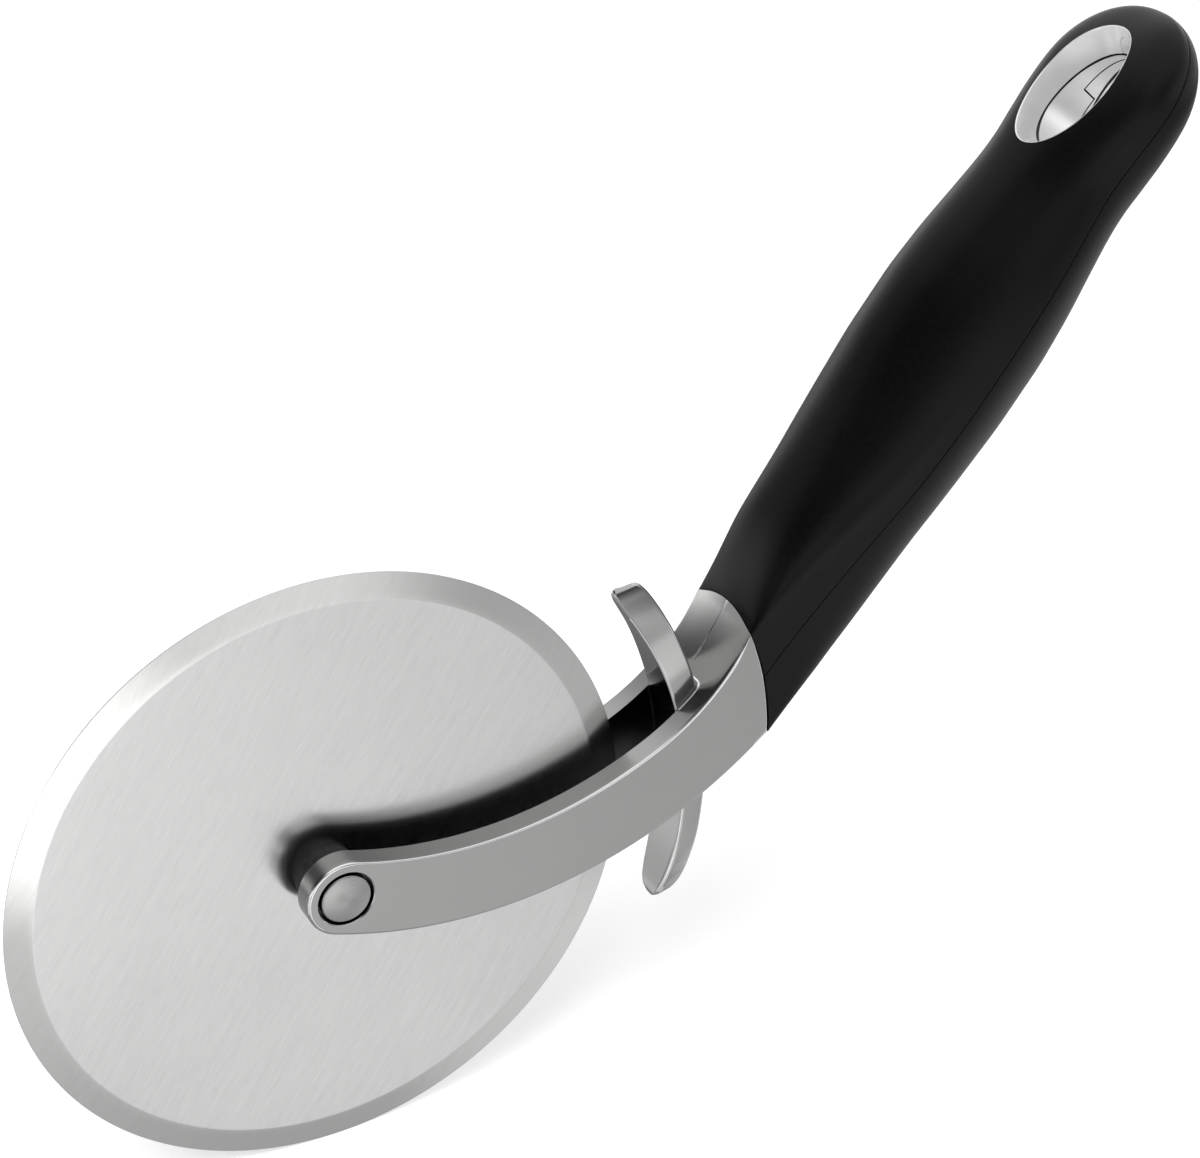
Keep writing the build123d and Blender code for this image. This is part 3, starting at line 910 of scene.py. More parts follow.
# %% Sizes of the finger guard
GUARD_TABLE = (
    # angle about the axle, half width, share of full depth
    (-22.2, 0.7, 0.30), (-21.9, 1.6, 0.55), (-21.2, 2.45, 0.80), (-19.6, 3.2, 0.96),
    (-17.6, 3.72, 1.0), (-14.8, 4.12, 1.0), (-11.5, 4.4, 1.0), (-8.0, 4.5, 1.0),
    (0.0, 4.5, 1.0), (12.0, 4.5, 1.0), (15.0, 4.46, 1.0), (18.2, 4.3, 1.0),
    (21.5, 3.9, 1.0), (24.7, 3.3, 1.0), (27.7, 2.62, 1.0), (30.7, 1.9, 1.0),
    (33.3, 1.18, 0.97), (34.8, 0.72, 0.88), (35.4, 0.45, 0.70), (35.6, 0.2, 0.45),
)
GUARD_FRONT, GUARD_BACK, GUARD_BACK_CENTRE = 60.5, SLOT_RADIUS, SLOT_CENTRE
GUARD_SEAT, GUARD_LEAST = 0.03, 0.01
GUARD_EDGE, GUARD_EDGE_MOST = 0.5, 0.7
TAIL_EDGE_GAIN, TAIL_EDGE_FROM, TAIL_EDGE_RUN = 0.35, -9, 5
TIP_SLANT, TIP_SLANT_FROM, TAIL_SLANT, TAIL_SLANT_FROM, SLANT_RUN = 1.7, 24, 1.8, -11, 10


def back_turn(turn):
    """The ends are cut on a slant: the back corner stands nearer the fork than the front."""
    tip = TIP_SLANT * eased((turn - TIP_SLANT_FROM) / SLANT_RUN)
    tail = TAIL_SLANT * eased((TAIL_SLANT_FROM - turn) / SLANT_RUN)
    return turn - tip + tail


def guard_back_at(turn):
    """Radius from the axle to the back arc, in one direction."""
    c = Vector(GUARD_BACK_CENTRE)
    d = Vector(on_circle(1.0, turn))
    along = c.dot(d)
    return along + sqrt(along ** 2 - c.dot(c) + GUARD_BACK ** 2)


print("guard depth, mm:", round(guard_back_at(0) - GUARD_FRONT, 2))

# %% [markdown]
# One section is a rectangle with quarter rounds at its corners, worked out as distance from the
# axle and place across, then swung round the axle. Faces on the rounded front edge take the pale
# finish, a painted highlight along it.

# %% Finger guard
GUARD_STEPS, CORNER_STEPS, END_STEP = 150, 4, 0.1
BRIGHT_DEPTH, BRIGHT_TILT, BRIGHT_TURNS = 1.7, (0.3, 0.95), (-20.5, 31)


def guard_section(turn):
    """Rounded four-cornered section at one direction from the axle."""
    half, depth = between(GUARD_TABLE, turn, 1), between(GUARD_TABLE, turn, 2)
    turned = back_turn(turn)
    back = guard_back_at(turned) - GUARD_SEAT
    front = back - (back - GUARD_FRONT) * (0.5 + 0.5 * depth)
    back = front + (back - GUARD_FRONT) * depth
    tail_gain = TAIL_EDGE_GAIN * eased((TAIL_EDGE_FROM - turn) / TAIL_EDGE_RUN)
    edge = min(GUARD_EDGE + tail_gain, half * GUARD_EDGE_MOST)
    corners = ((front, -half, 180), (back, -half, 270), (back, half, 0), (front, half, 90))
    points = []
    for r, y, begin in corners:
        cr = r + edge if r == front else r - edge
        cy = y + edge if y < 0 else y - edge
        for k in range(CORNER_STEPS + 1):
            a = radians(begin + 90 * k / CORNER_STEPS)
            points.append((cr + edge * cos(a), cy + edge * sin(a)))
    out = []
    for r, y in points:
        a = radians(turn + (turned - turn) * (r - front) / max(back - front, GUARD_LEAST))
        out.append(from_head(r * cos(a), y, r * sin(a)))
    return out


def is_painted_highlight_on_guard(face):
    """True for a face on the guard's rounded front edge, away from both tips; it gets a painted
    highlight.
    """
    x, _, z = face.center / MM - Vector(WHEEL_CENTRE)
    in_front = sqrt(x * x + z * z) < GUARD_FRONT + BRIGHT_DEPTH
    tilted = BRIGHT_TILT[0] < abs(face.normal.y) < BRIGHT_TILT[1]
    return in_front and tilted and BRIGHT_TURNS[0] < degrees(atan2(z, x)) < BRIGHT_TURNS[1]


def finger_guard():
    """The guard, as sections set close together about the axle."""
    low, high = GUARD_TABLE[0][0], GUARD_TABLE[-1][0]
    turns = {low + (high - low) * k / GUARD_STEPS for k in range(GUARD_STEPS + 1)}
    turns |= {row[0] for row in GUARD_TABLE} | {high - END_STEP, low + END_STEP}
    obj = skin_mesh("guard plate", [guard_section(turn) for turn in sorted(turns)])
    # The guard's front edge gets the pale finish as a painted highlight.
    wear(obj, SATIN_GLOSS, HIGHLIGHT_PAINT)
    for face in obj.data.polygons:
        face.material_index = int(is_painted_highlight_on_guard(face))
    smooth_shaded(obj, sharp_deg=60)
    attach(obj, "tool")
    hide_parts("finger_guard")
    return obj


guard = finger_guard()
print("guard faces:", len(guard.data.polygons))

# %% [markdown]
# Where the guard leaves the fork, the casting rises round its foot in a narrow bead that catches
# the light as a bright L; its pale finish paints that highlight on as well. A bevelled curve laid
# on the fork's top is the simplest way to get it.

# %% Bead round the guard's foot
BEAD_RADIUS, BEAD_OUT, BEAD_START, BEAD_SET_BACK = 0.3, 0.1, 0.4, 0.35
BEAD_CORNER, BEAD_CORNER_CUT, BEAD_STEPS = 0.7, 0.2, 8


def fork_top(reach, y):
    """Point on the fork's top, crown included, at one distance from the axle."""
    for i in range(1, TOP_COUNT):
        low, high = Vector(OUTLINE[i - 1]), Vector(OUTLINE[i])
        if low.length < reach <= high.length:
            p = low.lerp(high, (reach - low.length) / (high.length - low.length))
            p += NORMALS[i] * crown(i, y)
            return bowed(p.x, y, p.y)
    raise ValueError("no such point on the fork's top")


def bead_path():
    """Distance from the axle and place across, along three sides of the guard's foot."""
    edge, back = SLOT_HALF + BEAD_OUT, SLOT_RADIUS - BEAD_SET_BACK + BEAD_OUT
    start, inner = GUARD_FRONT + BEAD_START, edge - BEAD_CORNER
    steps = [k / BEAD_STEPS for k in range(BEAD_STEPS + 1)]
    leg = [(start + (back - BEAD_CORNER - start) * share, -edge) for share in steps]
    leg.append((back - BEAD_CORNER_CUT, -edge + BEAD_CORNER_CUT))
    foot = [(back, -inner + 2 * inner * share) for share in steps]
    return leg + foot + [(reach, -y) for reach, y in reversed(leg)]


def guard_bead():
    """Thin raised bead on the fork's top, a bevelled curve turned into a mesh."""
    path = bead_path()
    line = bpy.data.curves.new("guard foot bead", "CURVE")
    line.dimensions = "3D"
    line.bevel_depth = BEAD_RADIUS * MM
    line.bevel_resolution = 4
    line.use_fill_caps = True
    spline = line.splines.new("POLY")
    spline.points.add(len(path) - 1)
    for point, (reach, y) in zip(spline.points, path):
        point.co = (*from_head(*fork_top(reach, y)), 1)
    draft = bpy.data.objects.new("bead draft", line)
    scene.collection.objects.link(draft)
    mesh = bpy.data.meshes.new_from_object(draft)
    bpy.data.objects.remove(draft)
    obj = bpy.data.objects.new("guard_foot_bead", mesh)
    scene.collection.objects.link(obj)
    # The bead's pale finish is a painted highlight.
    wear(obj, HIGHLIGHT_PAINT)
    obj.data.polygons.foreach_set("use_smooth", [True] * len(obj.data.polygons))
    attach(obj, "tool")
    return obj


bead = guard_bead()
print("bead faces:", len(bead.data.polygons))

# %% [markdown]
# ## The axle's button
# The near end of the axle is a low dome, turned on a lathe, standing in its well with a dark
# ring of shadow round it. One outline turned about the axle makes the dome, the rounded edge and
# the pin behind them in a single piece, as the real one is made.

# %% Axle button
BUTTON_RADIUS, BUTTON_EDGE, BUTTON_DOME, PIN_RADIUS = 4.07, 0.32, 0.33, 3.0
DOME_STEPS, BUTTON_EDGE_STEPS = 14, 6


def axle_button():
    """Dome, rounded edge and pin, from the middle of the dome outwards."""
    flat, seat = BUTTON_RADIUS - BUTTON_EDGE, FORK_HALF - WELL_DEPTH
    outline = []
    for share in (k / DOME_STEPS for k in range(DOME_STEPS + 1)):
        outline.append((flat * share, -FORK_HALF - BUTTON_DOME * (1 - share ** 2)))
    for k in range(1, BUTTON_EDGE_STEPS + 1):
        a = pi / 2 * k / BUTTON_EDGE_STEPS
        outline.append((flat + BUTTON_EDGE * sin(a), -FORK_HALF + BUTTON_EDGE * (1 - cos(a))))
    outline += [(BUTTON_RADIUS, -seat), (PIN_RADIUS, -seat), (PIN_RADIUS, seat), (0, seat)]
    obj = lathe("axle button", outline, steps=128)
    wear(obj, TURNED)
    smooth_shaded(obj, sharp_deg=40)
    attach(obj, "tool")
    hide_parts("axle_barrel")
    return obj


button = axle_button()
print("button faces:", len(button.data.polygons))

# %% [markdown]
# ## The handle
# Two soft black mouldings meet at mid height. Every cross-section is a superellipse, squarer
# near the fork and rounder in the palm, so the skin is worked out from a short table of stations.
# In its last 11 mm the section melts into the fork's own crowned end, so the two lie flush.
# The seam edge gets a tiny round, which is what draws the thin dark line along the side.

# %% Handle skin
CAP_START, HANDLE_END = 165.0, 179.3
CAP_HALF_WIDTH, CAP_HALF_HEIGHT, CAP_DROP = 13.3, 8.3, 2.1
CAP_PLAN_POWER, CAP_SIDE_POWER = 2.1, 2.2
HANDLE_TABLE = (
    # station, half width, half height, squareness
    (40.0, 8.6, 8.0, 12.0), (48.0, 8.65, 8.2, 12.0), (56.0, 8.7, 8.6, 11.0), (62.0, 8.85, 9.1, 8.0),
    (68.0, 9.2, 9.8, 5.6), (74.0, 9.8, 10.5, 4.2), (82.0, 10.95, 11.2, 3.1), (90.0, 12.3, 11.8, 2.5),
    (98.0, 13.6, 12.5, 2.2), (106.0, 14.3, 13.3, 2.05), (114.0, 14.6, 13.85, 2.0),
    (122.0, 14.6, 13.85, 2.0), (130.0, 14.4, 13.2, 2.0), (138.0, 13.8, 12.1, 2.0),
    (146.0, 12.85, 10.9, 2.1), (151.0, 12.35, 10.3, 2.35), (155.0, 12.5, 9.9, 2.6),
    (160.0, 13.0, 9.2, 2.85), (CAP_START, CAP_HALF_WIDTH, CAP_HALF_HEIGHT, 3.0),
    (HANDLE_END, CAP_HALF_WIDTH, CAP_HALF_HEIGHT - CAP_DROP, 3.0),
)
LEAST_HALF, PALM_STATION = 0.01, 118.0


def handle_size(u):
    """Half width, half height and squareness at a station, closing over the end."""
    w, h, e = (between(HANDLE_TABLE, u, k) for k in (1, 2, 3))
    if u > CAP_START:
        t = (u - CAP_START) / (HANDLE_END - CAP_START)
        w = CAP_HALF_WIDTH * max(0, 1 - t ** CAP_PLAN_POWER) ** (1 / CAP_PLAN_POWER)
        closing = max(0, 1 - t ** CAP_SIDE_POWER) ** (1 / CAP_SIDE_POWER)
        h = (CAP_HALF_HEIGHT - CAP_DROP * t) * closing
    return w, h, e


def inside_skin(u, y, h):
    """Below 1 inside the handle's skin, above 1 outside."""
    w, top, e = handle_size(u)
    return abs(y / max(w, LEAST_HALF)) ** e + abs(h / max(top, LEAST_HALF)) ** e


print("handle in the palm, mm:", [round(2 * size, 1) for size in handle_size(PALM_STATION)[:2]])

# %% [markdown]
# The mouth of the handle has to end on the fork's crowned outline, or a step shows. So near the
# joint the reach of the skin in each direction slides over into the reach of that outline.

# %% Mouth and skin of the handle
MOUTH_REACH, MOUTH_POWER, MOUTH_OVER, MOUTH_LIFT = 11.0, 40, 0.10, 0.2
# For the upper (1) and lower (-1) shell: height of the fork's edge, and rise of its crown.
MOUTH_SHAPE = {1: (CUT_TOP[1] + MOUTH_LIFT, 0.95), -1: (-CUT_BOTTOM[1], 0.78)}
SEAM_ROUND, SEAM_HALF_GAP, SEAM_FADE, SEAM_LEAST = 0.28, 0.012, 3.0, 0.5
LEAST_SHARE, LEAST_CURVE = 1e-6, 1e-4


def mouth_reach(w, top, c, s, side):
    """Reach of the fork's own crowned end in one direction, in units of the skin's half sizes."""
    flat, rise = MOUTH_SHAPE[side]
    full = flat + rise + MOUTH_OVER
    across = (FORK_HALF + MOUTH_OVER) / max(w * abs(c), LEAST_SHARE)
    up, curve = top * s, rise * (w * c / FORK_HALF) ** 2
    over = full / max(up, LEAST_SHARE)
    if curve > LEAST_CURVE:
        over = (sqrt(up * up + 4 * curve * full) - up) / (2 * curve)
    return (across ** -MOUTH_POWER + over ** -MOUTH_POWER) ** (-1 / MOUTH_POWER)


def skin_point(u, turn, side):
    """Point of the upper or lower skin; turn runs from one seam (0) over to the other (pi)."""
    w, top, e = handle_size(u)
    c, s = cos(turn), max(sin(turn), 0)
    reach = (abs(c) ** e + s ** e) ** (-1 / e)
    near = 1 - max(0, past_cut(head_at(u, side * top * reach * s))) / MOUTH_REACH
    if near > 0:
        reach += (mouth_reach(w, top, c, s, side) - reach) * near * near
    y, h = w * reach * c, top * reach * s
    if h < SEAM_ROUND and abs(y) > SEAM_LEAST:
        pull = SEAM_ROUND - sqrt(max(0, SEAM_ROUND ** 2 - (SEAM_ROUND - h) ** 2))
        y -= (1 if y > 0 else -1) * pull * min(1, w / SEAM_FADE)
    return (u, y, side * max(h, SEAM_HALF_GAP))


print("top of the skin in the palm, mm:", round(skin_point(PALM_STATION, pi / 2, 1)[2], 2))

# %% [markdown]
# The mouth of the handle is cut off at a slant, where it meets the fork. Rather than carve it,
# each lengthwise line of the skin is simply started at the slanted cut, which keeps the rows
# even and lets the same bow be applied as on the fork.

# %% Handle shells
JOINT_GAP, JOINT_SEARCH = 0.12, (40.0, 90.0)
LENGTH_STEPS, BODY_STEPS, CAP_STEPS, CAP_CLEAR = 150, 140, 30, 0.004


def cut_station(turn, side):
    """Station at which one lengthwise line of the skin meets the bowed cut."""
    def before_cut(u):
        return past_cut(head_at(u, skin_point(u, turn, side)[2])) < JOINT_GAP

    u, y, h = skin_point(last_true(*JOINT_SEARCH, before_cut), turn, side)
    x, z = head_at(u, h)
    return u + bow_push(x, y, z)


def skin_turns():
    """Directions of the lengthwise lines, in degrees: close at the seams and at the corners."""
    quarter = [0, 0.12, 0.3, 0.55, 0.9, 1.3, 1.8, 2.5, 3.5, 5, 7] + [9 + 2.25 * k for k in range(9)]
    quarter += [30 + 1.25 * k for k in range(25)] + [62 + 2.8 * k for k in range(10)]
    return quarter + [90] + [180 - turn for turn in reversed(quarter)]


def handle_shell(name, side):
    """One shell; its rows crowd together where the rounded end closes."""
    shares = [k / LENGTH_STEPS for k in range(BODY_STEPS + 1)]
    tail = shares[-1]
    shares += [tail + (1 - tail) * sin(pi / 2 * k / CAP_STEPS) for k in range(1, CAP_STEPS + 1)]
    lines = []
    for turn in (radians(t) for t in skin_turns()):
        begin = cut_station(turn, side)
        span = HANDLE_END - CAP_CLEAR - begin
        lines.append([skin_point(begin + span * share, turn, side) for share in shares])
    return skin_mesh(name, [[from_handle(*line[j]) for line in lines] for j in range(len(shares))])


upper = handle_shell("handle shell top", 1)
lower = handle_shell("handle shell bottom", -1)
print("shell faces:", len(upper.data.polygons), len(lower.data.polygons))

# %% [markdown]
# ## The hanging eye
# A chromed liner goes right through the handle: a flared dish from each side, and between them
# a sleeve in two halves whose seam is stepped. The dish ends exactly on the handle's skin, so
# each line of it is followed outwards until it meets the skin. Chrome shows every ripple, so
# rows of points on clean ovals are far better here than a boolean cut.

# %% Ovals of the eye
RIM, WAIST = (11.8, 7.3), (9.4, 6.0)
RIM_HEIGHT, WAIST_HEIGHT, WAIST_LAG = 8.5, 3.75, 0.9
DISH_SLOPE = radians(12.5)
LINER_WALL, SHARE_MOST = 0.16, 1.8


def dish_point(turn, share, grow=0.0):
    """Point of the dish; share runs from 0 at the waist to 1 at the rim plane."""
    half_l = WAIST[0] + (RIM[0] - WAIST[0]) * share + grow
    half_w = WAIST[1] + (RIM[1] - WAIST[1]) * share + grow
    a, y = half_l * cos(turn), half_w * sin(turn)
    centre_u = EYE_STATION - WAIST_LAG * (1 - share)
    centre_h = WAIST_HEIGHT + (RIM_HEIGHT - WAIST_HEIGHT) * share
    return (centre_u + a * cos(DISH_SLOPE), y, centre_h - a * sin(DISH_SLOPE))


def share_on_skin(turn, grow):
    """Share at which a line of the dish comes out through the handle's skin."""
    return last_true(0.0, SHARE_MOST, lambda share: inside_skin(*dish_point(turn, share, grow)) < 1)


print("dish meets the skin at shares:", [round(share_on_skin(a, 0), 2) for a in full_circle(4)])

# %% [markdown]
# Each dish is a thin ring: up the inside, over a small lip, and down the outside, where the
# handle hides it. A shallow key recess at either end of the oval is pressed into the inside by
# moving points, since it is far too shallow to be worth a cut.

# %% Dishes
KEY_HALF, KEY_TOP, KEY_DEPTH, KEY_EDGE = 1.1, 2.0, 0.14, 0.06
KEY_SPAN, KEY_STEPS, OVAL_STEPS = 0.26, 32, 192
DISH_START, DISH_LIP, DISH_STEPS, DISH_BACK_STEPS = 0.09, 0.04, 56, 8
LIP_POINTS = ((0.25, 0.0), (0.5, 0.02), (0.75, 0.0))


def key_recess(y, share):
    """Depth of the shallow key recess at a point of the dish's wall, at either end of the oval."""
    above = (RIM_HEIGHT - WAIST_HEIGHT) * share - KEY_TOP
    outside = (abs(y) if above < 0 else sqrt(y * y + above * above)) - KEY_HALF
    return KEY_DEPTH * eased(0.5 - outside / KEY_EDGE)


def dish_turns():
    """Directions round the oval: even all the way, and close together at the two key recesses."""
    near_keys = [end + KEY_SPAN * k / KEY_STEPS
                 for end in (0, pi) for k in range(-KEY_STEPS, KEY_STEPS + 1)]
    return sorted({round(turn % (2 * pi), 6) for turn in full_circle(OVAL_STEPS) + near_keys})


def eye_dish(name, side):
    """Closed ring: up the inside, over the lip and down the outside."""
    rows = []
    for turn in dish_turns():
        inner, outer = share_on_skin(turn, 0.0), share_on_skin(turn, LINER_WALL)
        line = []
        for k in range(DISH_STEPS + 1):
            share = DISH_START + (inner - DISH_LIP - DISH_START) * k / DISH_STEPS
            y = dish_point(turn, share)[1]
            line.append(dish_point(turn, share, key_recess(y, share)))
        a, b = Vector(dish_point(turn, inner)), Vector(dish_point(turn, outer, LINER_WALL))
        line += [tuple(a.lerp(b, share) + Vector((0, 0, rise))) for share, rise in LIP_POINTS]
        for k in range(DISH_BACK_STEPS, -1, -1):
            share = DISH_START + (outer - DISH_LIP - DISH_START) * k / DISH_BACK_STEPS
            line.append(dish_point(turn, share, LINER_WALL))
        rows.append([from_handle(u, y, side * h) for u, y, h in line])
    obj = skin_mesh(name, rows, loop_back=True)
    wear(obj, CHROME)
    return smooth_shaded(obj, sharp_deg=50)


print("lines round one dish:", len(dish_turns()))

# %% [markdown]
# Between the dishes lies the sleeve, split in two halves whose seam steps down at one station.
# A true gap of a tenth or so is left at the seam. It is drawn by its own shadow, which stays right
# from every side, and the sleeves' edges also take the near-black finish: painted shade.

# %% Sleeves
STEP_STATION, STEP_DROP = 163.3, 2.9
SLEEVE_RECESS, SLEEVE_WALL, SLEEVE_GAP = 0.2, 1.2, 0.12
SLEEVE_CLEAR, SLEEVE_LEAST = 0.05, 0.1
SLEEVE_STEPS, INSIDE_STEPS, OUTSIDE_STEPS = 240, 6, 3
OVAL_LIMIT, FACES_IN = 1.1, -0.7


def oval_at(turn, grow):
    """Station and place across on the waist's oval, grown by a wall."""
    along, across = (WAIST[0] + grow) * cos(turn), (WAIST[1] + grow) * sin(turn)
    return EYE_STATION - WAIST_LAG + along, across


def painted_shade_in_the_gap(obj):
    """The edges of the sleeves lie in the shadow of their joints; they take painted shade."""
    wear(obj, CHROME, SHADE_PAINT)
    for face in obj.data.polygons:
        reach = face.center / MM
        out_u, out_y = reach.dot(AXIS) + WAIST_LAG, reach.y
        oval = sqrt((out_u / WAIST[0]) ** 2 + (out_y / WAIST[1]) ** 2)
        outwards = Vector((out_u * AXIS.x, out_y, out_u * AXIS.z)).normalized()
        inside = face.normal.dot(outwards) < FACES_IN and oval < OVAL_LIMIT
        face.material_index = 0 if inside else 1
    return obj


def sleeve(name, part):
    """Upper or lower share of the sleeve; the seam steps down at one station."""
    upper_half = part == "upper"
    step_at = STEP_STATION + (-SLEEVE_GAP if upper_half else SLEEVE_GAP)
    rows = []
    for turn in full_circle(SLEEVE_STEPS):
        u, y = oval_at(turn, SLEEVE_RECESS)
        out_u, out_y = oval_at(turn, SLEEVE_RECESS + SLEEVE_WALL)
        waist = WAIST_HEIGHT - (u - EYE_STATION + WAIST_LAG) * tan(DISH_SLOPE) - SLEEVE_CLEAR
        seam = 0.0 if u > step_at else -STEP_DROP
        top, low = (waist, seam + SLEEVE_GAP) if upper_half else (seam - SLEEVE_GAP, -waist)
        top = max(top, low + SLEEVE_LEAST)
        tall = top - low
        line = [(u, y, top - tall * k / INSIDE_STEPS) for k in range(INSIDE_STEPS + 1)]
        line += [(out_u, out_y, low + tall * k / OUTSIDE_STEPS) for k in range(OUTSIDE_STEPS + 1)]
        rows.append([from_handle(*p) for p in line])
    obj = painted_shade_in_the_gap(skin_mesh(name, rows, loop_back=True))
    return smooth_shaded(obj, sharp_deg=40)


eye_pieces = (
    (eye_dish("eye dish upper side", 1), "eye_dish_top"),
    (eye_dish("eye dish under side", -1), "eye_dish_bottom"),
    (sleeve("eye sleeve upper half", "upper"), "eye_sleeve_upper"),
    (sleeve("eye sleeve lower half", "lower"), "eye_sleeve_lower"),
)
for piece, node in eye_pieces:
    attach(piece, "tool")
    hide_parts(node)
print("eye pieces:", len(eye_pieces))

# %% [markdown]
# The shells still need their hole. Here a boolean is fine: the hole's edge is hidden under the
# chromed lip, and the black skin is matte. The cutter is the outside of both dishes and sleeves.

# %% Hole through the shells
CUTTER_SHARES = (1.7, 1.3, 1.0, 0.5, 0.0)
CUTTER_CLEAR, CUTTER_STEPS = 0.05, 128


def eye_cutter(name, side):
    """Outside of one dish and, past the middle plane, of the sleeve, a hair larger than both."""
    turns = full_circle(CUTTER_STEPS)
    rows = []
    for share in CUTTER_SHARES:
        row = [dish_point(turn, share, LINER_WALL + CUTTER_CLEAR) for turn in turns]
        rows.append([from_handle(u, y, side * h) for u, y, h in row])
    grow = SLEEVE_RECESS + SLEEVE_WALL + CUTTER_CLEAR
    rows.append([from_handle(*oval_at(turn, grow), -side * CUT_OVERRUN) for turn in turns])
    return skin_mesh(name, rows)


for piece, side, node in ((upper, 1, "handle_top"), (lower, -1, "handle_bottom")):
    carved(piece, [eye_cutter("eye cutter", side)])
    wear(piece, SOFT_BLACK)
    smooth_shaded(piece, sharp_deg=32)
    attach(piece, "tool")
    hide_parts(node)
    print(piece.name, "faces:", len(piece.data.polygons))

# %% [markdown]
# ## Small parts that stay as measured
# Bushes, washers, dowels, screws and the core are already the right shape. They keep their
# solids and only take a finish.

# %% Finishes for the carried-over solids
CARRIED = {
    "wheel_bush_near": NYLON, "wheel_bush_far": NYLON,
    "thrust_washer_near": NYLON, "thrust_washer_far": NYLON,
    "axle_screw": TURNED,
    "dowel_pins": SATIN, "core_screws": SATIN, "handle_core": CORE,
}
for node, mat in CARRIED.items():
    wear(frame["nodes"][node], mat)
print("carried over:", len(CARRIED))

# %% [markdown]
# ## Stage, light and camera
# The tool stands on a pale floor just under the blade's rim. The floor shines a little towards the
# camera, so that it comes out white, and still takes a soft shadow. It is clear to mirrored rays,
# so that the metal shows the studio below it as well, as it does in a photographer's tent.

# %% Floor
FLOOR_CLEAR, FLOOR_RADIUS, FLOOR_SHINE = 0.05, 4000.0, 0.34
FLOOR_HEIGHT = WHEEL_CENTRE[2] - WHEEL_RADIUS - FLOOR_CLEAR
WHITE = (1, 1, 1, 1)


def pale_floor():
    """Matt white that glows to the camera and lets mirrored rays through."""
    mat = bpy.data.materials.new("pale floor")
    mat.use_nodes = True
    tree = mat.node_tree
    shader = tree.nodes["Principled BSDF"]
    shader.inputs["Roughness"].default_value = 0.9
    shader.inputs["Specular IOR Level"].default_value = 0.1
    shader.inputs["Base Color"].default_value = (0.82, 0.82, 0.82, 1)
    path = tree.nodes.new("ShaderNodeLightPath")
    shine = tree.nodes.new("ShaderNodeEmission")
    shine.inputs["Color"].default_value = WHITE
    strength = math_node(tree, "MULTIPLY", path.outputs["Is Camera Ray"], FLOOR_SHINE)
    tree.links.new(strength, shine.inputs["Strength"])
    both = tree.nodes.new("ShaderNodeAddShader")
    tree.links.new(shader.outputs[0], both.inputs[0])
    tree.links.new(shine.outputs[0], both.inputs[1])
    clear = tree.nodes.new("ShaderNodeBsdfTransparent")
    mirrored = tree.nodes.new("ShaderNodeMixShader")
    tree.links.new(path.outputs["Is Glossy Ray"], mirrored.inputs[0])
    tree.links.new(both.outputs[0], mirrored.inputs[1])
    tree.links.new(clear.outputs[0], mirrored.inputs[2])
    tree.links.new(mirrored.outputs[0], tree.nodes["Material Output"].inputs["Surface"])
    return mat


def floor():
    bm = bmesh.new()
    bmesh.ops.create_circle(bm, cap_ends=True, segments=96, radius=FLOOR_RADIUS * MM)
    obj = mesh_object("floor", bm)
    obj.location.z = FLOOR_HEIGHT * MM
    obj.data.materials.append(pale_floor())


floor()
print("floor height, mm:", round(FLOOR_HEIGHT, 2))

# %% [markdown]
# Metal is a mirror, so most of its look is the room around it. A photograph of the room would
# bring in things that aren't there, so the room is drawn from listed values instead: its brightness
# changes with height, as in a studio with a bright band at eye level, and soft round patches stand
# for the lamps and for the black cards that give metal its dark edges.

# %% Sky as the metal sees it
SKY_BY_HEIGHT = (
    # height of the direction (-1 straight down, +1 straight up), brightness seen in metal
    (-1.0, 0.58), (-0.72, 0.60), (-0.60, 0.75), (-0.52, 0.69), (-0.43, 0.72), (-0.36, 0.60),
    (-0.27, 0.45), (-0.18, 0.42), (-0.12, 0.70), (-0.05, 1.70), (0.03, 1.20), (0.12, 0.66),
    (0.24, 0.56), (0.36, 0.66), (0.46, 0.82), (0.60, 0.95), (1.0, 1.20),
)
LIGHT_PATCHES = (
    # direction, full inside, gone outside (degrees), brightness added
    ((0.075, -0.905, -0.42), 4, 10, 1.50),
    ((0.17, -0.80, -0.57), 5, 18, 0.22),
    ((0.30, -0.91, -0.29), 5, 10, 0.80),
    ((0.47, -0.53, -0.705), 4, 9, 0.30),
    ((0.70, -0.20, -0.70), 8, 24, 0.45),
    ((0.41, 0.77, 0.49), 14, 34, 0.50),
    ((-0.79, -0.52, -0.31), 5, 13, 1.00),
    ((-0.61, 0.77, -0.18), 8, 24, 0.35),
)
DARK_PATCHES = (
    # direction, full inside, gone outside (degrees), share taken away
    ((-0.70, -0.45, 0.55), 18, 28, 0.95),
    ((-0.79, 0.10, 0.605), 18, 28, 0.95),
    ((-0.60, 0.75, 0.28), 4, 11, 0.85),
    ((-0.55, 0.72, 0.42), 10, 24, 0.45),
    ((-0.42, -0.82, 0.38), 8, 18, 0.60),
    ((0.41, -0.90, 0.15), 8, 20, 0.80),
    ((0.13, 0.75, -0.65), 10, 28, 0.70),
)


def patch(tree, direction, aim, full_deg, gone_deg):
    """Soft round patch on the sky: 1 near the aim, 0 away from it."""
    dot = tree.nodes.new("ShaderNodeVectorMath")
    dot.operation = "DOT_PRODUCT"
    dot.inputs[1].default_value = Vector(aim).normalized()
    tree.links.new(direction, dot.inputs[0])
    soft = tree.nodes.new("ShaderNodeMapRange")
    soft.interpolation_type = "SMOOTHSTEP"
    soft.inputs["From Min"].default_value = cos(radians(gone_deg))
    soft.inputs["From Max"].default_value = cos(radians(full_deg))
    tree.links.new(dot.outputs["Value"], soft.inputs["Value"])
    return soft.outputs["Result"]


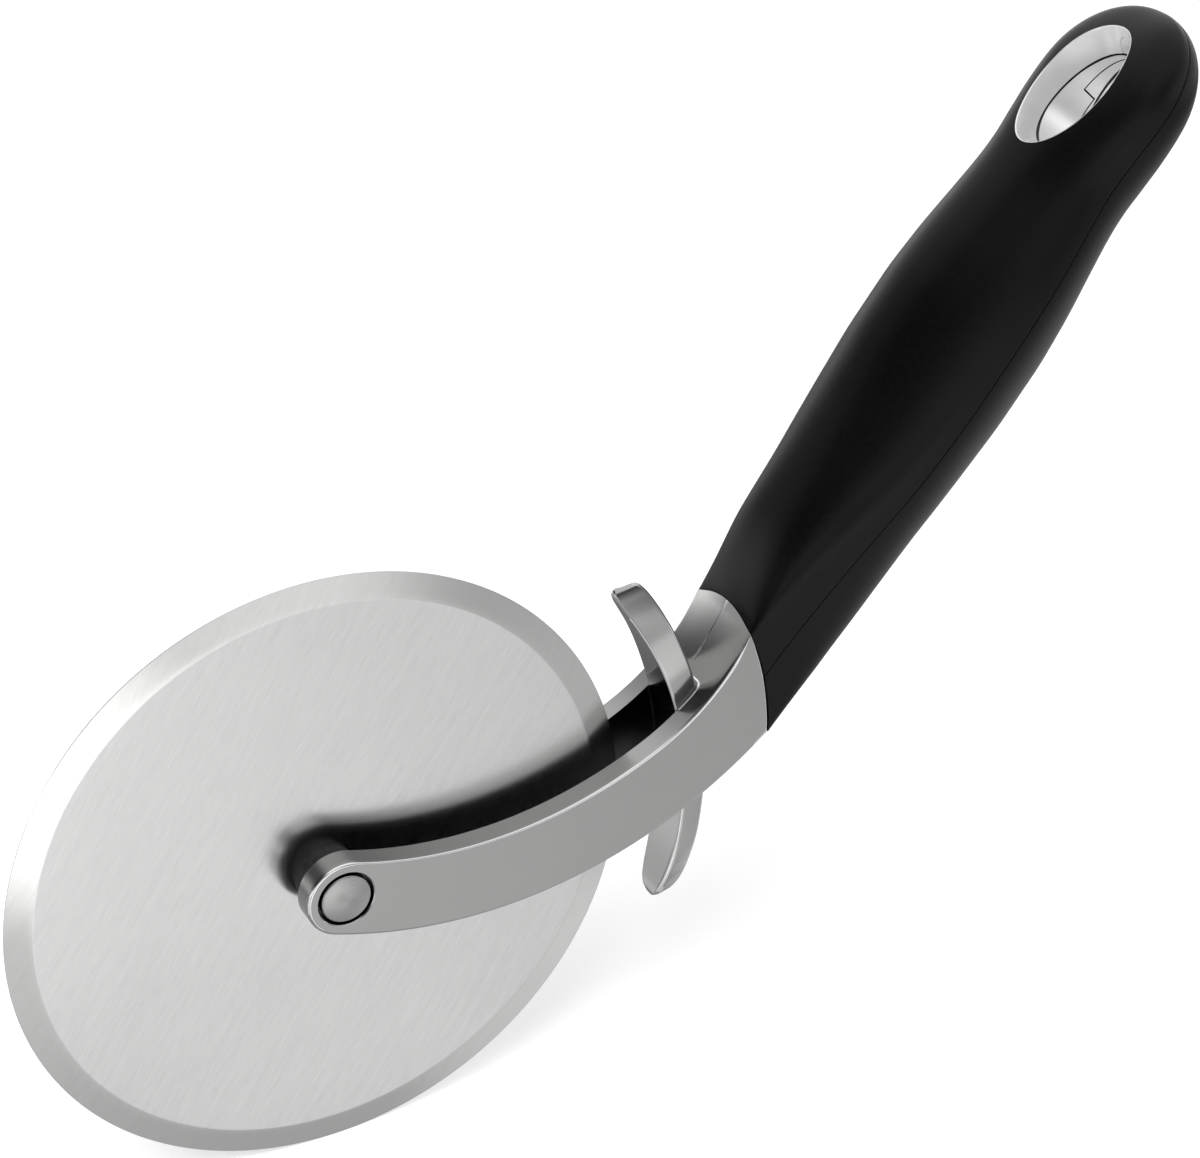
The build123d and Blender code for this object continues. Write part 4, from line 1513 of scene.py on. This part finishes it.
def mirrored_sky(tree):
    """Strength of the studio as polished metal sees it, direction by direction."""
    direction = tree.nodes.new("ShaderNodeTexCoord").outputs["Generated"]
    split = tree.nodes.new("ShaderNodeSeparateXYZ")
    tree.links.new(direction, split.inputs[0])
    height = tree.nodes.new("ShaderNodeFloatCurve")
    curve = height.mapping.curves[0]
    top = max(value for _, value in SKY_BY_HEIGHT)
    points = [((z + 1) / 2, value / top) for z, value in SKY_BY_HEIGHT]
    curve.points[0].location, curve.points[-1].location = points[0], points[-1]
    for point in points[1:-1]:
        curve.points.new(*point)
    height.mapping.update()
    half_height = math_node(tree, "MULTIPLY", split.outputs[2], 0.5)
    tree.links.new(math_node(tree, "ADD", half_height, 0.5), height.inputs["Value"])
    total = math_node(tree, "MULTIPLY", height.outputs["Value"], top)
    for aim, full, gone, extra in LIGHT_PATCHES:
        light = math_node(tree, "MULTIPLY", patch(tree, direction, aim, full, gone), extra)
        total = math_node(tree, "ADD", total, light)
    for aim, full, gone, share in DARK_PATCHES:
        dark = math_node(tree, "MULTIPLY", patch(tree, direction, aim, full, gone), share)
        total = math_node(tree, "MULTIPLY", total, math_node(tree, "SUBTRACT", 1.0, dark))
    return total


print("patches on the sky:", len(LIGHT_PATCHES), "light and", len(DARK_PATCHES), "dark")

# %% [markdown]
# Three skies share one world. Matt pieces are lit by a plain one, mirrored rays see the drawn
# one, and rays that come straight from the camera see white. Two soft square lamps add the
# shading from the upper left and a weak fill from the right; metal doesn't mirror them.

# %% World and lamps
PLAIN_SKY, WHITE_SKY = 0.55, 1.0
LAMP_AIM = (-60, 0, -60)


def world():
    """World that answers mirrored rays and camera rays each in their own way."""
    sky = bpy.data.worlds.new("studio")
    scene.world = sky
    sky.use_nodes = True
    tree = sky.node_tree
    tree.nodes.clear()
    path = tree.nodes.new("ShaderNodeLightPath")
    skies = []
    for strength in (PLAIN_SKY, mirrored_sky(tree), WHITE_SKY):
        ground = tree.nodes.new("ShaderNodeBackground")
        ground.inputs["Color"].default_value = WHITE
        if isinstance(strength, float):
            ground.inputs["Strength"].default_value = strength
        else:
            tree.links.new(strength, ground.inputs["Strength"])
        skies.append(ground.outputs[0])
    surface, mirrored, white = skies
    direct = math_node(
        tree, "MAXIMUM", path.outputs["Is Camera Ray"], path.outputs["Is Transmission Ray"])
    for factor, other in ((path.outputs["Is Glossy Ray"], mirrored), (direct, white)):
        mix = tree.nodes.new("ShaderNodeMixShader")
        tree.links.new(factor, mix.inputs[0])
        tree.links.new(surface, mix.inputs[1])
        tree.links.new(other, mix.inputs[2])
        surface = mix.outputs[0]
    out = tree.nodes.new("ShaderNodeOutputWorld")
    tree.links.new(surface, out.inputs["Surface"])


def soft_lamp(name, place_mm, size_mm, watts):
    """Square area lamp that faces the middle of the tool."""
    data = bpy.data.lights.new(name, "AREA")
    data.size = size_mm * MM
    data.energy = watts
    lamp = bpy.data.objects.new(name, data)
    lamp.location = Vector(place_mm) * MM
    target = Vector(LAMP_AIM) * MM
    lamp.rotation_euler = (target - lamp.location).to_track_quat("-Z", "Y").to_euler()
    lamp.visible_glossy = False
    scene.collection.objects.link(lamp)


world()
soft_lamp("key lamp", (-700, -500, 900), size_mm=700, watts=12)
soft_lamp("side lamp", (800, -500, 500), size_mm=500, watts=3)

# %% [markdown]
# The camera stands where the photographer's stood. Its place, direction and lens were worked out
# from the ellipse of the wheel and the outlines of the fork and the handle.

# %% Camera
SENSOR_WIDTH, LENS = 36.0, 91.84
CAMERA_PLACE, CAMERA_FORWARD = (-282.1, -358.9, 169.9), (0.4131, 0.7667, -0.4915)
NEAREST, FARTHEST = 10.0, 20000.0


def camera():
    """The photographer's view of the tool."""
    data = bpy.data.cameras.new("camera")
    data.sensor_fit = "HORIZONTAL"
    data.sensor_width, data.lens = SENSOR_WIDTH, LENS
    data.clip_start, data.clip_end = NEAREST * MM, FARTHEST * MM
    obj = bpy.data.objects.new("camera", data)
    scene.collection.objects.link(obj)
    obj.location = Vector(CAMERA_PLACE) * MM
    obj.rotation_euler = Vector(CAMERA_FORWARD).to_track_quat("-Z", "Y").to_euler()
    scene.camera = obj


camera()
print("lens:", scene.camera.data.lens)
